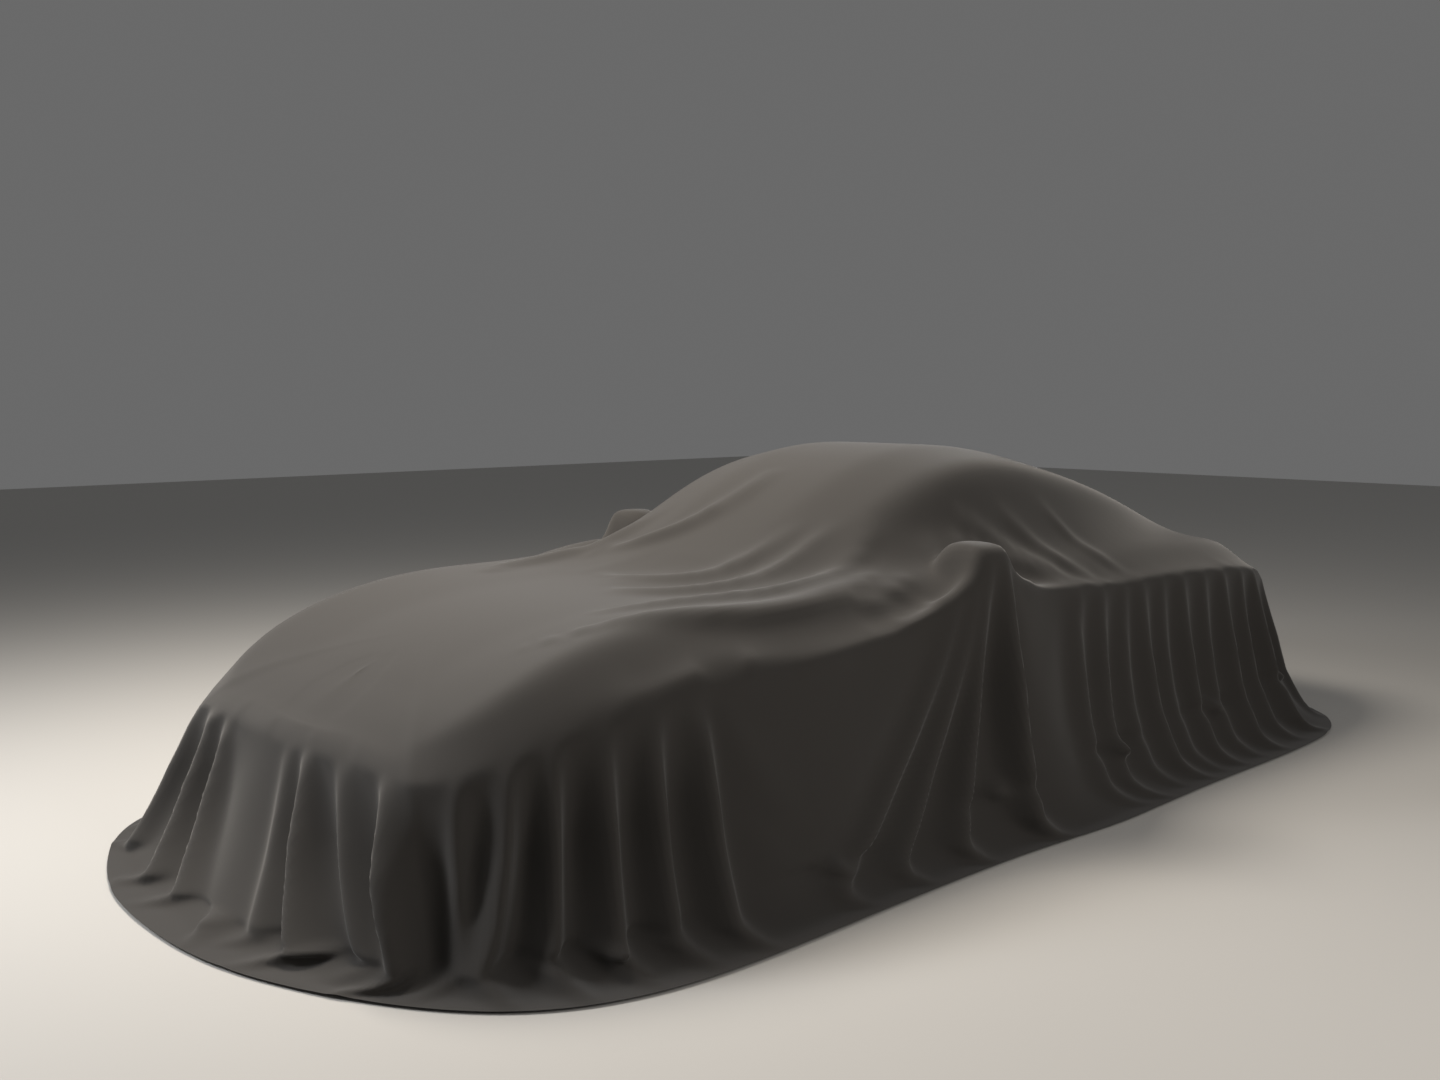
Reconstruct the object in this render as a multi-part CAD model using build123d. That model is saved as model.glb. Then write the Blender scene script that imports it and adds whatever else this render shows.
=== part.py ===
from build123d import *
import math
import os

# A low two-door grand tourer under a fitted, floor-length cloth cover.
# Millimetres. X points forward, Y to the car's left, Z up. The origin is on the floor, at the
# middle of the rectangle that the spread hem of the cover lies in.

# Stance
FRONT_AXLE_X = 1425
WHEELBASE = 2725
REAR_AXLE_X = FRONT_AXLE_X - WHEELBASE
WHEEL_Y = 815
OUTSIDE = 1100
ABOVE = 1500

# Wheels and brakes
TYRE_RADIUS = 345
TYRE_WIDTH = 255
TYRE_SHOULDER = 26
RIM_RADIUS = 250
RIM_LIP = 9
RIM_WALL = 9
RIM_WELL_DROP = 14
RIM_WELL_WIDTH = 90
SPOKE_COUNT = 10
SPOKE_ROOT_WIDTH = 42
SPOKE_TIP_WIDTH = 24
SPOKE_DEPTH = 26
SPOKE_SETBACK = 12
HUB_RADIUS = 72
DISC_RADIUS = 188
DISC_THICKNESS = 32
DISC_HAT_RADIUS = 92
DISC_Y = 800
DISC_HAT_WALL = 12
WHEEL_FACE_Y = DISC_Y + 44
SPINDLE_RADIUS = 34
SPINDLE_LENGTH = 60
RUNNING_GAP = 0.1
CALIPER_HALF_SPAN = 38
CALIPER_ANGLE = 36
CALIPER_GAP = 5

# Steering and suspension
KINGPIN_Y = 740
KINGPIN_HALF_HEIGHT = 150
KINGPIN_RADIUS = 12
EYE_RADIUS = 27
EYE_HEIGHT = 26
ARM_RADIUS = 13
ARM_SPREAD = 140
ARM_ROOT_Y = 425
UPRIGHT_DEPTH = 34
UPRIGHT_BOSS_HEIGHT = 7
COIL_RADIUS = 42
DAMPER_Y = 590
DAMPER_FOOT_Y = 600
DAMPER_ROD_RADIUS = 14
DAMPER_TOP_GAP = 0.6
FOOT_BAR_RADIUS = 11
MOUNT_HALF_WIDTH = 16

# Body panels
NOSE_X = 2360
TAIL_X = -2330
DOOR_WALL = 110
WING_WALL = 60
SKIN = 30
END_WALL = 60
HOUSE_WALL = 50
PANEL_GAP = 6
DOOR_FRONT_X = 760
DOOR_FRONT_GAP = 4
DOOR_REAR_X = -430
DOOR_TOP_Z = 1000
SILL_TOP_Z = 242
BONNET_REAR_X = 808
BONNET_FRONT_X = 2150
BONNET_HALF_WIDTH = 700
BUMPER_SIDE_Z = 545
BUMPER_BACK_X = 1812
WING_FRONT_FOOT_Z = 300
BOOT_FRONT_X = -1646
BOOT_REAR_X = -2262
BOOT_HALF_WIDTH = 395
REAR_BUMPER_X = -2060
REAR_BUMPER_TOP_Z = 640
TAIL_PANEL_TOP_Z = 684
TAIL_HOLLOW_HALF_WIDTH = 620
TAIL_HOLLOW_FOOT_Z = 345
TAIL_HOLLOW_TOP_Z = 700
TAIL_OPENING_HALF_WIDTH = 560
TAIL_PANEL_HALF_WIDTH = 548
ARCH_RADIUS = 385
ARCH_INNER_Y = 545
FRONT_LINER_RADIUS = 412
FRONT_LINER_INNER_Y = 448
LINER_WALL = 8
LINER_INNER_WALL_Z = 540
ARCH_SKIN_Y = 878

# Nose
GRILLE_HALF_WIDTH = 355
GRILLE_Z = 246
GRILLE_HEIGHT = 176
GRILLE_BAR = 8
GRILLE_BARS = 8
GRILLE_STRUTS = 6
GRILLE_DEPTH = 26
GRILLE_SETBACK = 22

# Glass and roof
GLASS_INSET = 0.8
GLASS_THICKNESS = 6
BELT_SEAL = 0.3
ROOF_EDGE_DROP = 60
SCREEN_BASE_X = 792
SCREEN_KNEE_X = 640
SCREEN_TOP_X = 62
SCREEN_HALF_WIDTH = 640
BACKLIGHT_TOP_X = -790
BACKLIGHT_HALF_WIDTH = 430
ROOF_HALF_WIDTH = 500
DOOR_GLASS_REAR_X = -412

# Hinges and their travel
DOOR_HINGE_X = 696
DOOR_HINGE_Y = 900
DOOR_HINGE_Z = 705
DOOR_HINGE_HEIGHT = 30
HINGE_LEAF_Y = 806
DOOR_PIN_RADIUS = 8
DOOR_PIN_LENGTH = 40
DOOR_SWEEP_RADIUS = 88
DOOR_SHELF_RADIUS = 186
DOOR_SHELF_REAR_X = 600
DOOR_SHELF_FOOT_Z = 750
DOOR_SHELF_INNER_Y = 600
HINGE_NOTCH_INNER_Y = 700
HINGE_LEAF_HALF_WIDTH = 9
HINGE_EYE_RADIUS = 14
HINGE_NOTCH_RADIUS = 17
HINGE_ROOM_Z = 3
BONNET_HINGE_X = 832
BONNET_HINGE_Z = 878
BONNET_EAR_Y = 604
BONNET_EAR_WIDTH = 18
BONNET_EAR_RADIUS = 9
BOOT_HINGE_X = -1674
BOOT_HINGE_Z = 975
BOOT_EDGE_LEAD = 10
BOOT_REAR_RAKE = 0.41
BOOT_RAKE_TOP_Z = 800
LID_PIN_RADIUS = 6
LID_PIN_END_GAP = 1

# Structure under the skin
FLOOR_Z = 136
FLOOR_THICKNESS = 28
FLOOR_HALF_WIDTH = 780
TUNNEL_HALF_WIDTH = 130
TUNNEL_TOP_Z = 350
PRESSING_WALL = 15
BULKHEAD_X = 764
BULKHEAD_THICKNESS = 30
BULKHEAD_TOP_Z = 842
BULKHEAD_HALF_WIDTH = 880
BULKHEAD_FOOT_HALF_WIDTH = 752
HEELBOARD_X = -1030
REAR_FLOOR_Z = 570
REAR_FLOOR_HALF_WIDTH = 537
RAIL_INNER_Y = 380
RAIL_OUTER_Y = 440
RAIL_Z = 300
RAIL_HEIGHT = 110
REAR_RAIL_Z = 450
CROSSMEMBER_Z = 235
CROSSMEMBER_HEIGHT = 65
CROSSMEMBER_HALF_LENGTH = 60
TOWER_HALF_LENGTH = 95
CRASH_BEAM_HALF_WIDTH = 560

# Machinery
ENGINE_FRONT_X = 1600
ENGINE_LENGTH = 640
ENGINE_HALF_WIDTH = 290
ENGINE_HEIGHT = 420
RADIATOR_DEPTH = 44
EXHAUST_RADIUS = 32
EXHAUST_Z = 190
SILENCER_RADIUS = 95
TAILPIPE_RADIUS = 45
TAILPIPE_Y = 470
TAILPIPE_Z = 362
TAILPIPE_WALL = 4
SILENCER_X = -1900
AXLE_CASE_RADIUS = 92
HALF_SHAFT_RADIUS = 18

# Cabin
SEAT_Y = 375
SEAT_WIDTH = 480
CUSHION_LENGTH = 520
CUSHION_FRONT_X = 190
CUSHION_TOP_Z = 430
CUSHION_THICKNESS = 150
BACKREST_HEIGHT = 620
BACKREST_THICKNESS = 130
BACKREST_LEAN = 22
HEADREST_WIDTH = 250
HEADREST_HEIGHT = 170
HEADREST_THICKNESS = 90
STEERING_RIM_RADIUS = 182
STEERING_RIM_SECTION = 15
STEERING_X = 300
STEERING_Z = 800
COLUMN_TILT = 24
COLUMN_RADIUS = 28
DASH_DEPTH = 290

# Mirrors
MIRROR_X = 205
MIRROR_Y = 952
MIRROR_Z = 958
MIRROR_LENGTH = 150
MIRROR_SPAN = 175
MIRROR_HEIGHT = 100

# Outside interfaces: jacking pads, towing eye and number plate holes
JACK_FRONT_X = 560
JACK_REAR_X = -760
JACK_Y = 835
JACK_LENGTH = 90
JACK_WIDTH = 60
JACK_FACE_Z = 120
JACK_HEIGHT = 22
TOW_EYE_Y = -440
TOW_EYE_Z = 330
TOW_EYE_RADIUS = 8
TOW_EYE_DEPTH = 45
PLATE_Z = 560
PLATE_HOLE_SPACING = 280
PLATE_HOLE_RADIUS = 3
PLATE_HOLE_DEPTH = 24

# Cover
COVER_WALL = 11
HEM_LIFT = 0.5

# Front of the body. Columns: x, half width, underside z, shoulder z, wing crest y, crest z,
# z of the bonnet halfway to the middle.
FRONT_SECTIONS = [
    (DOOR_FRONT_X, 956, 130, 743, 789, 893, 903),
    (FRONT_AXLE_X, 965, 130, 715, 765, 872, 838),
    (1850, 935, 138, 655, 748, 808, 778),
    (2160, 870, 155, 540, 720, 672, 658),
    (NOSE_X, 690, 205, 420, 590, 500, 520),
]

# Cabin and tail. Columns: x, half width, underside z, shoulder z, wing crest y, crest z,
# belt z, half width at the belt, half width at the roof edge, roof z, foot z of the pillars.
CABIN_SECTIONS = [
    (800, 957, 130, 742, 788, 891, 886, 655, 545, 915, 862),
    (400, 952, 130, 752, 800, 897, 893, 772, 572, 1132, 878),
    (-300, 950, 130, 770, 830, 908, 903, 812, 570, 1330, 885),
    (-900, 957, 132, 775, 820, 908, 903, 795, 535, 1264, 885),
    (-1500, 958, 140, 765, 795, 896, 891, 745, 480, 1115, 870),
    (-2000, 910, 165, 718, 715, 852, 847, 665, 425, 918, 822),
    (TAIL_X, 760, 300, 610, 600, 752, 747, 560, 375, 768, 712),
]
SILL_TUCK = 48
UNDERSIDE_SHARE = 0.8
OUTER_RADII = [110, 100, 60]

# Cover. Columns: x, hem half width, half width and z of the knee in the fall, half width and
# z of the shoulder it hangs from, half width and z of the roof edge, z at the middle.
COVER_SECTIONS = [
    (2820, 430, 410, 6, 340, 12, 200, 13, 14),
    (2640, 1000, 860, 75, 740, 180, 430, 190, 192),
    (2480, 1165, 955, 150, 800, 420, 500, 455, 460),
    (2385, 1220, 980, 180, 800, 500, 610, 545, 550),
    (2160, 1285, 1065, 215, 905, 610, 740, 708, 692),
    (1850, 1320, 1110, 250, 962, 705, 768, 842, 806),
    (1425, 1340, 1135, 265, 988, 760, 782, 904, 870),
    (763, 1350, 1140, 280, 992, 800, 760, 945, 962),
    (470, 1352, 1150, 300, 1010, 870, 650, 1100, 1138),
    (240, 1355, 1200, 340, 1095, 1062, 620, 1196, 1234),
    (-50, 1358, 1150, 300, 1012, 890, 602, 1280, 1324),
    (-300, 1360, 1140, 285, 988, 838, 590, 1322, 1358),
    (-900, 1355, 1140, 285, 990, 832, 560, 1258, 1297),
    (-1500, 1350, 1140, 280, 990, 820, 510, 1108, 1149),
    (-2000, 1300, 1095, 275, 952, 824, 520, 926, 956),
    (-2350, 1190, 970, 245, 815, 707, 500, 814, 821),
    (-2480, 1100, 880, 180, 720, 500, 400, 600, 610),
    (-2650, 900, 710, 85, 560, 220, 330, 250, 255),
    (-2820, 400, 370, 6, 300, 12, 180, 13, 14),
]


def corner_radius(points, index, limit):
    """Largest arc, up to limit, that the two sides at a corner leave room for."""
    corner = Vector(*points[index])
    back = Vector(*points[index - 1]) - corner
    ahead = Vector(*points[(index + 1) % len(points)]) - corner
    half_turn = math.radians(180 - back.get_angle(ahead)) / 2
    return min(limit, 0.45 * min(back.length, ahead.length) / math.tan(half_turn))


def section_face(x, points, limits):
    """A closed face across the car at x, its corners rounded up to the limits."""
    radii = [corner_radius(points, i, limits[i]) for i in range(len(points))]
    plane = Plane(origin=(x, 0, 0), x_dir=(0, 1, 0), z_dir=(1, 0, 0))
    return plane * make_face(FilletPolyline(*points, radius=radii, close=True))


def block(x_range, y_range, z_range):
    """A box from its three pairs of limits."""
    size = [high - low for low, high in (x_range, y_range, z_range)]
    middle = [(high + low) / 2 for low, high in (x_range, y_range, z_range)]
    return Pos(*middle) * Box(*size)


def soft_block(x_range, y_range, z_range, radius):
    """A box with every edge rounded."""
    solid = block(x_range, y_range, z_range)
    return fillet(solid.edges(), radius)


def side_prism(points, y_range):
    """A side-view outline of (x, z) points, as thick as y_range."""
    face = Plane.XZ * make_face(Polyline(*points, close=True))
    solid = extrude(face, y_range[1] - y_range[0], dir=(0, 1, 0))
    return Pos(0, y_range[0], 0) * solid


def plan_prism(points, z_range):
    """A plan outline of (x, y) points, as high as z_range."""
    face = make_face(Polyline(*points, close=True))
    return Pos(0, 0, z_range[0]) * extrude(face, z_range[1] - z_range[0], dir=(0, 0, 1))


def bar(start, end, radius):
    """A round bar between two points."""
    start = Vector(*start)
    run = Vector(*end) - start
    plane = Plane(origin=start, z_dir=run)
    return plane * Pos(0, 0, run.length / 2) * Cylinder(radius, run.length)


def along_y(x, z, radius, y_range):
    """A round bar across the car."""
    return bar((x, y_range[0], z), (x, y_range[1], z), radius)


def upright(x, y, radius, z_range):
    """A round bar that stands up."""
    return bar((x, y, z_range[0]), (x, y, z_range[1]), radius)


def mirrored(shape):
    """The same piece on the car's right."""
    return mirror(shape, about=Plane.XZ)


def both_sides(shape):
    """A left piece and its mirror image, in one node."""
    return shape + mirrored(shape)


# Lofted walls that the panels are cut from


def wall_section(x, half, under, shoulder_z, crest, shelf, wall):
    """The left body side at x: sill, side, shoulder and the shelf inside its crest."""
    sill_y = half * UNDERSIDE_SHARE
    points = [
        (sill_y, under),
        (half - SILL_TUCK, under),
        (half, shoulder_z),
        crest,
        shelf,
        (shelf[0], shelf[1] - SKIN),
        (half - wall, shoulder_z),
        (sill_y, under + SKIN),
    ]
    limits = [0] + OUTER_RADII + [0, 0, WING_WALL, 0]
    return section_face(x, points, limits)


def front_side():
    """The left front wing's wall, from the door to the nose."""
    faces = []
    for x, half, under, shoulder_z, crest_y, crest_z, middle_z in FRONT_SECTIONS:
        shelf_y = min(BONNET_HALF_WIDTH + PANEL_GAP, crest_y - 25)
        faces.append(wall_section(x, half, under, shoulder_z, (crest_y, crest_z),
                                  (shelf_y, crest_z - 4), WING_WALL))
    return loft(faces)


def cabin_side():
    """The left wall of door, sill and rear wing, as thick as the door."""
    faces = []
    for x, half, under, shoulder_z, crest_y, crest_z, belt_z, belt_y, *_ in CABIN_SECTIONS:
        faces.append(wall_section(x, half, under, shoulder_z, (crest_y, crest_z),
                                  (belt_y + BELT_SEAL, belt_z), DOOR_WALL))
    return loft(faces)


def bonnet_skin():
    """The curved top between the two front wings, from the cowl to the nose."""
    faces = []
    for x, half, under, shoulder_z, crest_y, crest_z, middle_z in FRONT_SECTIONS:
        edge_y = min(BONNET_HALF_WIDTH, crest_y - 31)
        edge_z = crest_z - 4
        points = [(edge_y, edge_z), (edge_y * 0.5, middle_z),
                  (-edge_y * 0.5, middle_z), (-edge_y, edge_z),
                  (-edge_y, edge_z - SKIN), (-edge_y * 0.5, middle_z - SKIN),
                  (edge_y * 0.5, middle_z - SKIN), (edge_y, edge_z - SKIN)]
        faces.append(section_face(x, points, [0, 260, 260, 0, 0, 260, 260, 0]))
    return loft(faces)


def solid_body(rows):
    """A whole length of the lower body as one closed form, for an end to be cut from."""
    faces = []
    for x, half, under, shoulder_z, crest_y, crest_z, middle_z in rows:
        right = [(half - SILL_TUCK, under), (half, shoulder_z), (crest_y, crest_z),
                 (crest_y * 0.5, middle_z)]
        points = right + [(-y, z) for y, z in reversed(right)]
        limits = OUTER_RADII + [260, 260] + OUTER_RADII[::-1]
        faces.append(section_face(x, points, limits))
    return loft(faces)


def house(outer_inset, inner_inset):
    """The cabin upper as an arched shell between two depths under its outer face."""
    faces = []
    for x, *_, belt_y, roof_y, roof_z, foot_z in CABIN_SECTIONS:
        drop = min(ROOF_EDGE_DROP, 0.5 * (roof_z - foot_z))
        outlines = []
        for inset in (outer_inset, inner_inset):
            outlines.append([(belt_y - inset, foot_z), (roof_y - inset, roof_z - drop - inset),
                             (roof_y * 0.5, roof_z - inset)])
        outer, inner = outlines
        outside = outer + [(-y, z) for y, z in reversed(outer)]
        inside = inner + [(-y, z) for y, z in reversed(inner)]
        points = outside + inside[::-1]
        faces.append(section_face(x, points, [0, 90, 240, 240, 90, 0] * 2))
    return loft(faces)


FRONT_SIDE = front_side()
CABIN_SIDE = cabin_side()
FRONT_FORM = solid_body(FRONT_SECTIONS)
TAIL_FORM = solid_body([row[:6] + (row[5] + 8,) for row in CABIN_SECTIONS[-4:]])
HOUSE = house(0, HOUSE_WALL)
GLAZING = house(GLASS_INSET, GLASS_INSET + GLASS_THICKNESS)

# Cut lines between panels

SCREEN_PLAN = [
    (SCREEN_BASE_X, -SCREEN_HALF_WIDTH),
    (SCREEN_BASE_X, SCREEN_HALF_WIDTH),
    (SCREEN_KNEE_X, SCREEN_HALF_WIDTH),
    (SCREEN_TOP_X, ROOF_HALF_WIDTH),
    (SCREEN_TOP_X, -ROOF_HALF_WIDTH),
    (SCREEN_KNEE_X, -SCREEN_HALF_WIDTH),
]
BACKLIGHT_PLAN = [
    (BACKLIGHT_TOP_X, -ROOF_HALF_WIDTH + 20),
    (BACKLIGHT_TOP_X, ROOF_HALF_WIDTH - 20),
    (BOOT_FRONT_X + PANEL_GAP, BACKLIGHT_HALF_WIDTH),
    (BOOT_FRONT_X + PANEL_GAP, -BACKLIGHT_HALF_WIDTH),
]
DOOR_GLASS_SIDE = [
    (600, DOOR_TOP_Z - 160),
    (600, 912),
    (330, 1045),
    (60, 1160),
    (-160, 1218),
    (DOOR_GLASS_REAR_X, 1240),
    (DOOR_GLASS_REAR_X, DOOR_TOP_Z - 160),
]
DOOR_GLASS_HOLE = [
    (606, DOOR_TOP_Z - 170),
    (606, 916),
    (333, 1052),
    (62, 1167),
    (-160, 1225),
    (DOOR_REAR_X - 12, 1247),
    (DOOR_REAR_X - 12, DOOR_TOP_Z - 170),
]
QUARTER_GLASS_SIDE = [
    (DOOR_REAR_X - 48, 925),
    (DOOR_REAR_X - 48, 1240),
    (-760, 1196),
    (-1060, 1112),
    (-1290, 1004),
    (-1300, 948),
]
LAMP_SIDE = [(1985, 612), (1985, 690), (2235, 604), (2240, 540)]
DOOR_BLOCK = block((DOOR_REAR_X, DOOR_FRONT_X - DOOR_FRONT_GAP), (640, OUTSIDE),
                   (SILL_TOP_Z, DOOR_TOP_Z))
DOOR_HOLE = block((DOOR_REAR_X - PANEL_GAP - 1, NOSE_X), (0, OUTSIDE),
                  (SILL_TOP_Z - PANEL_GAP, DOOR_TOP_Z))
FRONT_PANEL_X = DOOR_FRONT_X + DOOR_FRONT_GAP
DOOR_SWEEP = upright(DOOR_HINGE_X, DOOR_HINGE_Y, DOOR_SWEEP_RADIUS,
                     (SILL_TOP_Z - PANEL_GAP, DOOR_TOP_Z))


def wheel_space(x, radius, inner_y):
    """The round space that a wheel stands in, open to the outside."""
    return along_y(x, TYRE_RADIUS, radius, (inner_y, OUTSIDE))


def arch_liner(x, radius, inner_y, outer_y, lowest_z):
    """A rolled liner round a wheel, with an inner wall above its suspension."""
    drum = along_y(x, TYRE_RADIUS, radius + LINER_WALL, (inner_y - LINER_WALL, outer_y))
    ring = drum - along_y(x, TYRE_RADIUS, radius, (inner_y - LINER_WALL, outer_y))
    ring &= block((x - 600, x + 600), (0, OUTSIDE), (lowest_z, ABOVE))
    wall = along_y(x, TYRE_RADIUS, radius + LINER_WALL, (inner_y - LINER_WALL, inner_y))
    wall &= block((x - 600, x + 600), (0, OUTSIDE), (LINER_INNER_WALL_Z, ABOVE))
    return ring + wall


# Body panels


def front_wing():
    """Left front wing with its arch liner, open for the steered wheel."""
    wing = FRONT_SIDE & block((FRONT_PANEL_X, BONNET_FRONT_X), (0, OUTSIDE), (0, ABOVE))
    wing -= block((BUMPER_BACK_X - PANEL_GAP, NOSE_X), (0, OUTSIDE),
                  (0, BUMPER_SIDE_Z + PANEL_GAP))
    wing -= block((FRONT_AXLE_X, NOSE_X), (0, OUTSIDE), (0, WING_FRONT_FOOT_Z))
    wing -= wheel_space(FRONT_AXLE_X, ARCH_RADIUS, FRONT_LINER_INNER_Y)
    wing -= steered_space()
    wing -= side_prism(LAMP_SIDE, (BONNET_HALF_WIDTH + PANEL_GAP, OUTSIDE))
    wing -= DOOR_SWEEP
    return wing + arch_liner(FRONT_AXLE_X, FRONT_LINER_RADIUS, FRONT_LINER_INNER_Y,
                             ARCH_SKIN_Y + 30, TYRE_RADIUS + 60)


def steered_space():
    """The wider space behind the wing's skin that the steered wheel turns in."""
    return along_y(FRONT_AXLE_X, TYRE_RADIUS, FRONT_LINER_RADIUS,
                   (FRONT_LINER_INNER_Y, ARCH_SKIN_Y))


def bonnet():
    """One-piece bonnet with a hinge pin across a pocket at each rear corner."""
    skin = bonnet_skin() & block((BONNET_REAR_X, BONNET_FRONT_X),
                                 (-OUTSIDE, OUTSIDE), (0, ABOVE))
    pocket_y = (BONNET_EAR_Y - PANEL_GAP, BONNET_EAR_Y + BONNET_EAR_WIDTH + PANEL_GAP)
    skin -= both_sides(block((BONNET_REAR_X - 1, BONNET_HINGE_X + 3 * BONNET_EAR_RADIUS), pocket_y,
                             (0, BONNET_HINGE_Z + BONNET_EAR_RADIUS + 2)))
    return skin + both_sides(along_y(BONNET_HINGE_X, BONNET_HINGE_Z, LID_PIN_RADIUS,
                                     (pocket_y[0] - 4, pocket_y[1] + 4)))


def front_bumper():
    """Nose and lower front corners, one moulding, hollow behind its face."""
    nose = FRONT_FORM & block((BONNET_FRONT_X + PANEL_GAP, NOSE_X), (-OUTSIDE, OUTSIDE),
                              (0, ABOVE))
    back_x = NOSE_X - END_WALL
    hollow = side_prism([(2100, 190), (back_x, 240), (back_x, 425), (2100, 622)],
                        (-620, 620))
    nose -= hollow
    nose -= block((back_x - 10, NOSE_X + 1), (-GRILLE_HALF_WIDTH, GRILLE_HALF_WIDTH),
                  (GRILLE_Z, GRILLE_Z + GRILLE_HEIGHT))
    corner = FRONT_SIDE & block((BUMPER_BACK_X, BONNET_FRONT_X + PANEL_GAP + 1),
                                (0, OUTSIDE), (0, BUMPER_SIDE_Z))
    corner -= wheel_space(FRONT_AXLE_X, FRONT_LINER_RADIUS + LINER_WALL + 2, 0)
    whole = nose + both_sides(corner)
    whole -= bar((NOSE_X - TOW_EYE_DEPTH, TOW_EYE_Y, TOW_EYE_Z), (NOSE_X + 1, TOW_EYE_Y, TOW_EYE_Z),
                 TOW_EYE_RADIUS)
    return whole - both_sides(side_prism(LAMP_SIDE, (BONNET_HALF_WIDTH + PANEL_GAP, OUTSIDE)))


def grille():
    """A framed grille of level bars tied by upright struts."""
    face_x = NOSE_X - GRILLE_SETBACK
    depth = (face_x - GRILLE_DEPTH, face_x)
    frame = block(depth, (-GRILLE_HALF_WIDTH, GRILLE_HALF_WIDTH),
                  (GRILLE_Z, GRILLE_Z + GRILLE_HEIGHT))
    frame -= block((depth[0] - 1, depth[1] + 1),
                   (-GRILLE_HALF_WIDTH + GRILLE_BAR, GRILLE_HALF_WIDTH - GRILLE_BAR),
                   (GRILLE_Z + GRILLE_BAR, GRILLE_Z + GRILLE_HEIGHT - GRILLE_BAR))
    pitch = GRILLE_HEIGHT / (GRILLE_BARS + 1)
    for index in range(1, GRILLE_BARS + 1):
        level = GRILLE_Z + index * pitch
        frame += block(depth, (-GRILLE_HALF_WIDTH, GRILLE_HALF_WIDTH),
                       (level - GRILLE_BAR / 2, level + GRILLE_BAR / 2))
    spacing = 2 * GRILLE_HALF_WIDTH / (GRILLE_STRUTS + 1)
    for index in range(1, GRILLE_STRUTS + 1):
        place = -GRILLE_HALF_WIDTH + index * spacing
        frame += block((depth[0], depth[1] - 8), (place - GRILLE_BAR / 2, place + GRILLE_BAR / 2),
                       (GRILLE_Z, GRILLE_Z + GRILLE_HEIGHT))
    return frame


def headlamp():
    """Left headlamp unit, its lens flush with wing and bumper."""
    return FRONT_FORM & side_prism(LAMP_SIDE, (BONNET_HALF_WIDTH + PANEL_GAP, OUTSIDE))


def body_side():
    """Left sill, rear wing and rear arch liner, one welded side of the body."""
    side = CABIN_SIDE & block((TAIL_X, FRONT_PANEL_X), (FLOOR_HALF_WIDTH, OUTSIDE), (0, 500))
    side += CABIN_SIDE & block((TAIL_X, FRONT_PANEL_X), (0, OUTSIDE), (500, ABOVE))
    side -= DOOR_HOLE
    side -= wheel_space(REAR_AXLE_X, ARCH_RADIUS, ARCH_INNER_Y)
    side -= block((TAIL_X - 1, REAR_BUMPER_X + PANEL_GAP), (0, OUTSIDE),
                  (0, REAR_BUMPER_TOP_Z + PANEL_GAP))
    side -= tail_lamp_block()
    inner_skin_y = WHEEL_Y + TYRE_WIDTH / 2 - 70
    side += arch_liner(REAR_AXLE_X, ARCH_RADIUS, ARCH_INNER_Y, inner_skin_y, FLOOR_Z + 40)
    side += jack_pad(JACK_FRONT_X)
    side += jack_pad(JACK_REAR_X)
    return side + sill_pivot()


def jack_pad(x):
    """Flat jacking pad under the left sill."""
    return block((x - JACK_LENGTH / 2, x + JACK_LENGTH / 2),
                 (JACK_Y - JACK_WIDTH / 2, JACK_Y + JACK_WIDTH / 2),
                 (JACK_FACE_Z, JACK_FACE_Z + JACK_HEIGHT))


def tail_lamp_block():
    """The space of the left tail lamp in the rear corner."""
    return block((TAIL_X - 1, TAIL_X + 130), (TAIL_PANEL_HALF_WIDTH + PANEL_GAP, OUTSIDE),
                 (REAR_BUMPER_TOP_Z + PANEL_GAP, REAR_BUMPER_TOP_Z + 62))


def tail_lamp():
    """Left tail lamp, flush with the corner."""
    return TAIL_FORM & tail_lamp_block()


def rear_bumper():
    """Tail moulding with the panel between the lamps, hollow behind its face."""
    lower = TAIL_FORM & block((TAIL_X, REAR_BUMPER_X), (-OUTSIDE, OUTSIDE),
                              (0, REAR_BUMPER_TOP_Z))
    panel = TAIL_FORM & block((TAIL_X, TAIL_X + END_WALL),
                              (-TAIL_PANEL_HALF_WIDTH, TAIL_PANEL_HALF_WIDTH),
                              (REAR_BUMPER_TOP_Z - 1, TAIL_PANEL_TOP_Z))
    hollow = block((TAIL_X + END_WALL, REAR_BUMPER_X + 1),
                   (-TAIL_HOLLOW_HALF_WIDTH, TAIL_HOLLOW_HALF_WIDTH),
                   (TAIL_HOLLOW_FOOT_Z, TAIL_HOLLOW_TOP_Z))
    under = block((TAIL_X + END_WALL, REAR_BUMPER_X + 1),
                  (-TAIL_OPENING_HALF_WIDTH, TAIL_OPENING_HALF_WIDTH),
                  (0, TAIL_HOLLOW_FOOT_Z + 5))
    cut = both_sides(bar((TAIL_X - 1, TAILPIPE_Y, TAILPIPE_Z),
                         (TAIL_X + END_WALL + 1, TAILPIPE_Y, TAILPIPE_Z),
                         TAILPIPE_RADIUS + PANEL_GAP))
    whole = (lower - hollow) + panel - under - cut
    hole_y = PLATE_HOLE_SPACING / 2
    return whole - both_sides(bar((TAIL_X - 1, hole_y, PLATE_Z),
                                  (TAIL_X + PLATE_HOLE_DEPTH, hole_y, PLATE_Z), PLATE_HOLE_RADIUS))


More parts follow.
